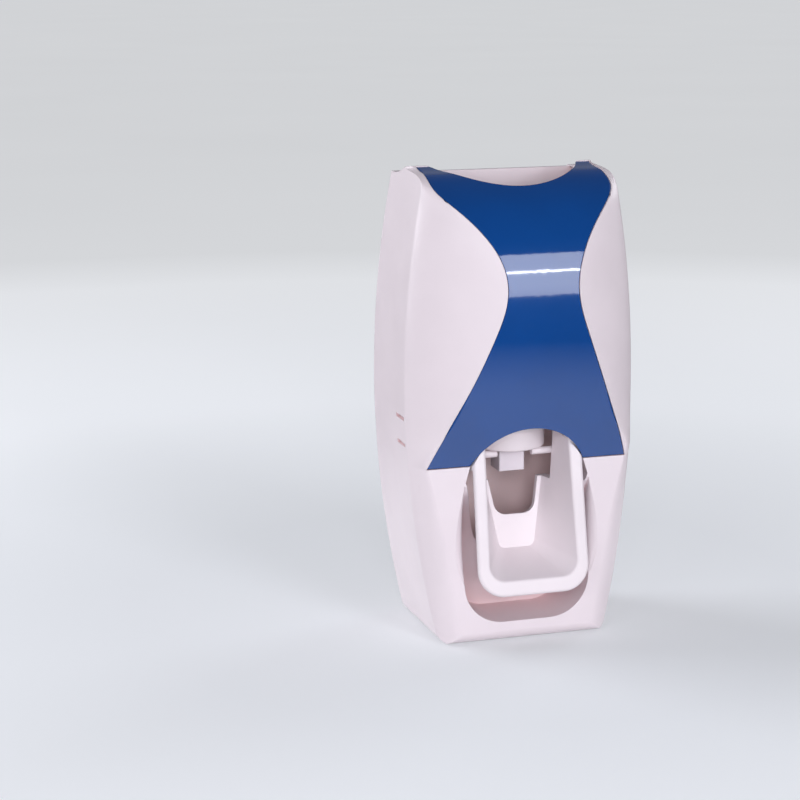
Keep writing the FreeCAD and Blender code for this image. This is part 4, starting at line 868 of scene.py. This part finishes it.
class DISPENSER_OT_spring(DispenserOperator, bpy.types.Operator):
    """Wind the return spring as a fixed piece on the housing; the real one shortens as the plunger lifts
    """

    bl_idname = "dispenser.spring"
    bl_label = "Return Spring"

    def execute(self, context):
        sizes = context.scene.dispenser_sizes
        base = bpy.data.objects.new("return_spring_base", bpy.data.meshes.new("return_spring_base"))
        context.scene.collection.objects.link(base)
        values = {
            "Radius": sizes.spring_radius,
            "Wire": sizes.spring_wire,
            "Turns": sizes.spring_turns,
            "Height": SPRING_END - SPRING_START,
            "Centre": (PUMP_AXIS.x, PUMP_AXIS.y, SPRING_START),
            "Material": material_for("spring_steel"),
        }
        piece = baked_nodes("return_spring_coil", base, coil_tree(), values)
        stand_in(piece, "housing", "spring_steel", "return_spring")
        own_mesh(piece)
        return {"FINISHED"}


class DISPENSER_OT_screws(DispenserOperator, bpy.types.Operator):
    """Make the cross-head screws of the rear cover and of the collar"""

    bl_idname = "dispenser.screws"
    bl_label = "Screws"

    def execute(self, context):
        sizes = context.scene.dispenser_sizes
        blank = screw_blank("rear_screw_blank", sizes.rear_screw_head, **REAR_SCREW)
        places = [(x, REAR_SCREW_TOP, z) for x, z in REAR_SCREW_PLACES]
        backwards = (-math.pi / 2, 0.0, 0.0)
        rear = set_screws("rear_cover_screws_cross", blank, places, backwards, "screw_steel")
        stand_in(rear, "housing", "screw_steel", "rear_cover_screws")
        blank = screw_blank("collar_screw_blank", sizes.collar_screw_head, **COLLAR_SCREW)
        places = [(x, PUMP_AXIS.y, COLLAR_SCREW_TOP) for x in COLLAR_SCREW_PLACES]
        upwards = (0.0, 0.0, 0.0)
        collar = set_screws("collar_screws_cross", blank, places, upwards, "screw_steel")
        stand_in(collar, "housing", "screw_steel", "collar_screws")
        return {"FINISHED"}


class DISPENSER_OT_pad(DispenserOperator, bpy.types.Operator):
    """Make the foam pad that sticks to the wall"""

    bl_idname = "dispenser.pad"
    bl_label = "Wall Pad"

    def execute(self, context):
        piece = mesh_object("wall_pad_foam", pad_mesh(context.scene.dispenser_sizes))
        stand_in(piece, "housing", "pad_foam", "wall_pad")
        return {"FINISHED"}


# Stage


# Soft boxes: azimuth, elevation, distance, width, height

SOFT_BOXES = {
    "key": (17.0, 15.0, 1.2, 0.36, 0.9),
    "strip": (17.0, 15.7, 1.15, 0.3, 0.04),
    "side": (-125.0, 22.0, 1.1, 0.7, 0.9),
    "right": (118.0, 22.0, 1.1, 0.5, 0.7),
    "fill": (-19.0, 13.0, 0.9, 0.3, 0.3),
    "left": (-48.0, 15.0, 0.9, 0.3, 0.3),
}
STRIP_SHARE = 0.17
LAMP_COLOUR = (0.98, 1.0, 1.06)
AMBIENT = 0.45
SKY_RANGE = (0.05, 0.75)

# Floor: ranges of distance from the object, then the values at their ends

FLOOR_GLOW = (0.15, 0.75, 0.40, 1.0)
FLOOR_MIRRORED_GLOW = (0.16, 0.28, 1.0, 0.0)
FLOOR_FADE = (0.35, 0.9)
FLOOR_MIRRORED_FADE = (0.18, 0.28)
FLOOR_CLOUD_SCALE = 3.0
FLOOR_CLOUD_RANGE = (0.3, 0.7)
FLOOR_SHADE = 0.985
FLOOR_DARK = 0.1
FLOOR_SEGMENTS = 96
FLOOR_LEVEL = -0.0822
FLOOR_RADIUS = 60.0
AIM = Vector((0.0, -0.03, 0.0))
CAMERA_PLACE = Vector((-0.23211, -0.67269, 0.14804))
CAMERA_RIGHT = Vector((0.95772, -0.28768, -0.00452))
CAMERA_UP = Vector((0.06588, 0.20398, 0.97676))
SENSOR_WIDTH = 36.0
CLIP_END = 100.0


def direction(azimuth, elevation):
    """The way from the object towards a place, azimuth to the right of the front, in degrees."""
    a, e = math.radians(azimuth), math.radians(elevation)
    return Vector((math.sin(a) * math.cos(e), -math.cos(a) * math.cos(e), math.sin(e)))


def soft_box(name, azimuth, elevation, distance, width, height, power):
    """A rectangular lamp that faces the object."""
    lamp = bpy.data.lights.new(name, "AREA")
    lamp.shape = "RECTANGLE"
    lamp.size = width
    lamp.size_y = height
    lamp.energy = power
    lamp.color = LAMP_COLOUR
    holder = bpy.data.objects.new(name, lamp)
    way = direction(azimuth, elevation)
    holder.location = AIM + way * distance
    holder.rotation_mode = "QUATERNION"
    holder.rotation_quaternion = (-way).to_track_quat("-Z", "Y")
    bpy.context.scene.collection.objects.link(holder)


def make_world(stage):
    """Surroundings that light the object and look as pale as the floor."""
    world = bpy.data.worlds.new("Studio")
    world.use_nodes = True
    bpy.context.scene.world = world
    tree = world.node_tree
    background = tree.nodes["Background"]
    way = add_node(tree, "ShaderNodeTexCoord")
    split = add_node(tree, "ShaderNodeSeparateXYZ")
    join(tree, way.outputs["Generated"], split.inputs["Vector"])
    height = ranged(tree, split.outputs["Z"], *SKY_RANGE)
    colour = blended(tree, height, stage.horizon_colour, stage.zenith_colour)
    seen = add_node(tree, "ShaderNodeLightPath").outputs["Is Camera Ray"]
    join(tree, blended(tree, seen, colour, stage.floor_colour), background.inputs["Color"])
    join(tree, ranged(tree, seen, 0.0, 1.0, AMBIENT, 1.0), background.inputs["Strength"])


def floor_material(stage):
    """A pale floor that keeps the object's shadow, plain far away and darker in reflections there."""
    material = bpy.data.materials.new("floor")
    material.use_nodes = True
    tree = material.node_tree
    shader = set_inputs(tree.nodes["Principled BSDF"], Roughness=0.9)
    place = add_node(tree, "ShaderNodeTexCoord").outputs["Object"]
    clouds = noise(tree, place, FLOOR_CLOUD_SCALE, detail=3.0)
    cloud = ranged(tree, clouds.outputs["Fac"], *FLOOR_CLOUD_RANGE)
    colour = blended(tree, cloud, stage.floor_colour, shaded(stage.floor_colour, FLOOR_SHADE))
    light = add_node(tree, "ShaderNodeLightPath")
    away = add_node(tree, "ShaderNodeVectorMath", operation="LENGTH")
    join(tree, place, away.inputs[0])
    distance = away.outputs["Value"]
    plain = product(tree, light.outputs["Is Camera Ray"], ranged(tree, distance, *FLOOR_GLOW))
    mirrored = ranged(tree, distance, *FLOOR_MIRRORED_GLOW)
    glow = spread(tree, light.outputs["Is Glossy Ray"], mirrored, plain)
    join(tree, colour, shader.inputs["Emission Color"])
    join(tree, glow, shader.inputs["Emission Strength"])
    dark = shaded(stage.floor_colour, FLOOR_DARK)
    faded = blended(tree, ranged(tree, distance, *FLOOR_FADE), colour, dark)
    dim = product(tree, light.outputs["Is Glossy Ray"], ranged(tree, distance, *FLOOR_MIRRORED_FADE))
    join(tree, blended(tree, dim, faded, dark), shader.inputs["Base Color"])
    return material


def make_floor(stage):
    rim = ring(FLOOR_RADIUS, FLOOR_LEVEL, FLOOR_SEGMENTS, Vector())
    mesh = bpy.data.meshes.new("floor")
    mesh.from_pydata(rim, [], [tuple(range(len(rim)))])
    mesh.materials.append(floor_material(stage))
    floor = bpy.data.objects.new("floor", mesh)
    bpy.context.scene.collection.objects.link(floor)


def make_lamps(stage):
    powers = {
        "key": stage.key_power,
        "strip": stage.key_power * STRIP_SHARE,
        "side": stage.side_power,
        "right": stage.right_power,
        "fill": stage.fill_power,
        "left": stage.left_power,
    }
    for name, place in SOFT_BOXES.items():
        soft_box(name, *place, powers[name])


def make_camera(stage):
    camera = bpy.data.cameras.new("camera")
    camera.lens = stage.lens
    camera.sensor_width = SENSOR_WIDTH
    camera.clip_end = CLIP_END
    holder = bpy.data.objects.new("camera", camera)
    axes = Matrix((CAMERA_RIGHT, CAMERA_UP, CAMERA_RIGHT.cross(CAMERA_UP))).transposed()
    holder.location = CAMERA_PLACE
    holder.rotation_mode = "QUATERNION"
    holder.rotation_quaternion = axes.to_quaternion()
    bpy.context.scene.collection.objects.link(holder)
    bpy.context.scene.camera = holder


class DISPENSER_OT_stage(DispenserOperator, bpy.types.Operator):
    """Set up the floor, the studio light and the camera"""

    bl_idname = "dispenser.stage"
    bl_label = "Stage"

    def execute(self, context):
        stage = context.scene.dispenser_stage
        make_floor(stage)
        make_world(stage)
        make_lamps(stage)
        make_camera(stage)
        context.scene.view_settings.view_transform = "Standard"
        return {"FINISHED"}


OPERATORS = (
    DISPENSER_OT_case,
    DISPENSER_OT_panel,
    DISPENSER_OT_lever,
    DISPENSER_OT_pump,
    DISPENSER_OT_plunger,
    DISPENSER_OT_bellows,
    DISPENSER_OT_spring,
    DISPENSER_OT_screws,
    DISPENSER_OT_pad,
    DISPENSER_OT_stage,
)


class DISPENSER_PT_pieces(bpy.types.Panel):
    """Lists the dispenser's pieces and its stage"""

    bl_idname = "DISPENSER_PT_pieces"
    bl_label = "Toothpaste Dispenser"
    bl_space_type = "VIEW_3D"
    bl_region_type = "UI"
    bl_category = "Dispenser"

    def draw(self, context):
        scene = context.scene
        for group in (scene.dispenser_looks, scene.dispenser_sizes, scene.dispenser_stage):
            box = self.layout.box()
            for name in group.bl_rna.properties.keys():
                if name not in ("rna_type", "name"):
                    box.prop(group, name)
        for operator in OPERATORS:
            self.layout.operator(operator.bl_idname)


GROUPS = {
    "dispenser_looks": DispenserLooks,
    "dispenser_sizes": DispenserSizes,
    "dispenser_stage": DispenserStage,
}


def register():
    for kind in (*GROUPS.values(), *OPERATORS, DISPENSER_PT_pieces):
        bpy.utils.register_class(kind)
    for name, group in GROUPS.items():
        setattr(bpy.types.Scene, name, bpy.props.PointerProperty(type=group))


def unregister():
    for name in GROUPS:
        delattr(bpy.types.Scene, name)
    for kind in reversed((*GROUPS.values(), *OPERATORS, DISPENSER_PT_pieces)):
        bpy.utils.unregister_class(kind)


def main():
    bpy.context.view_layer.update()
    register()
    for operator in OPERATORS:
        group, name = operator.bl_idname.split(".")
        getattr(getattr(bpy.ops, group), name)()


if __name__ == "__main__":
    main()
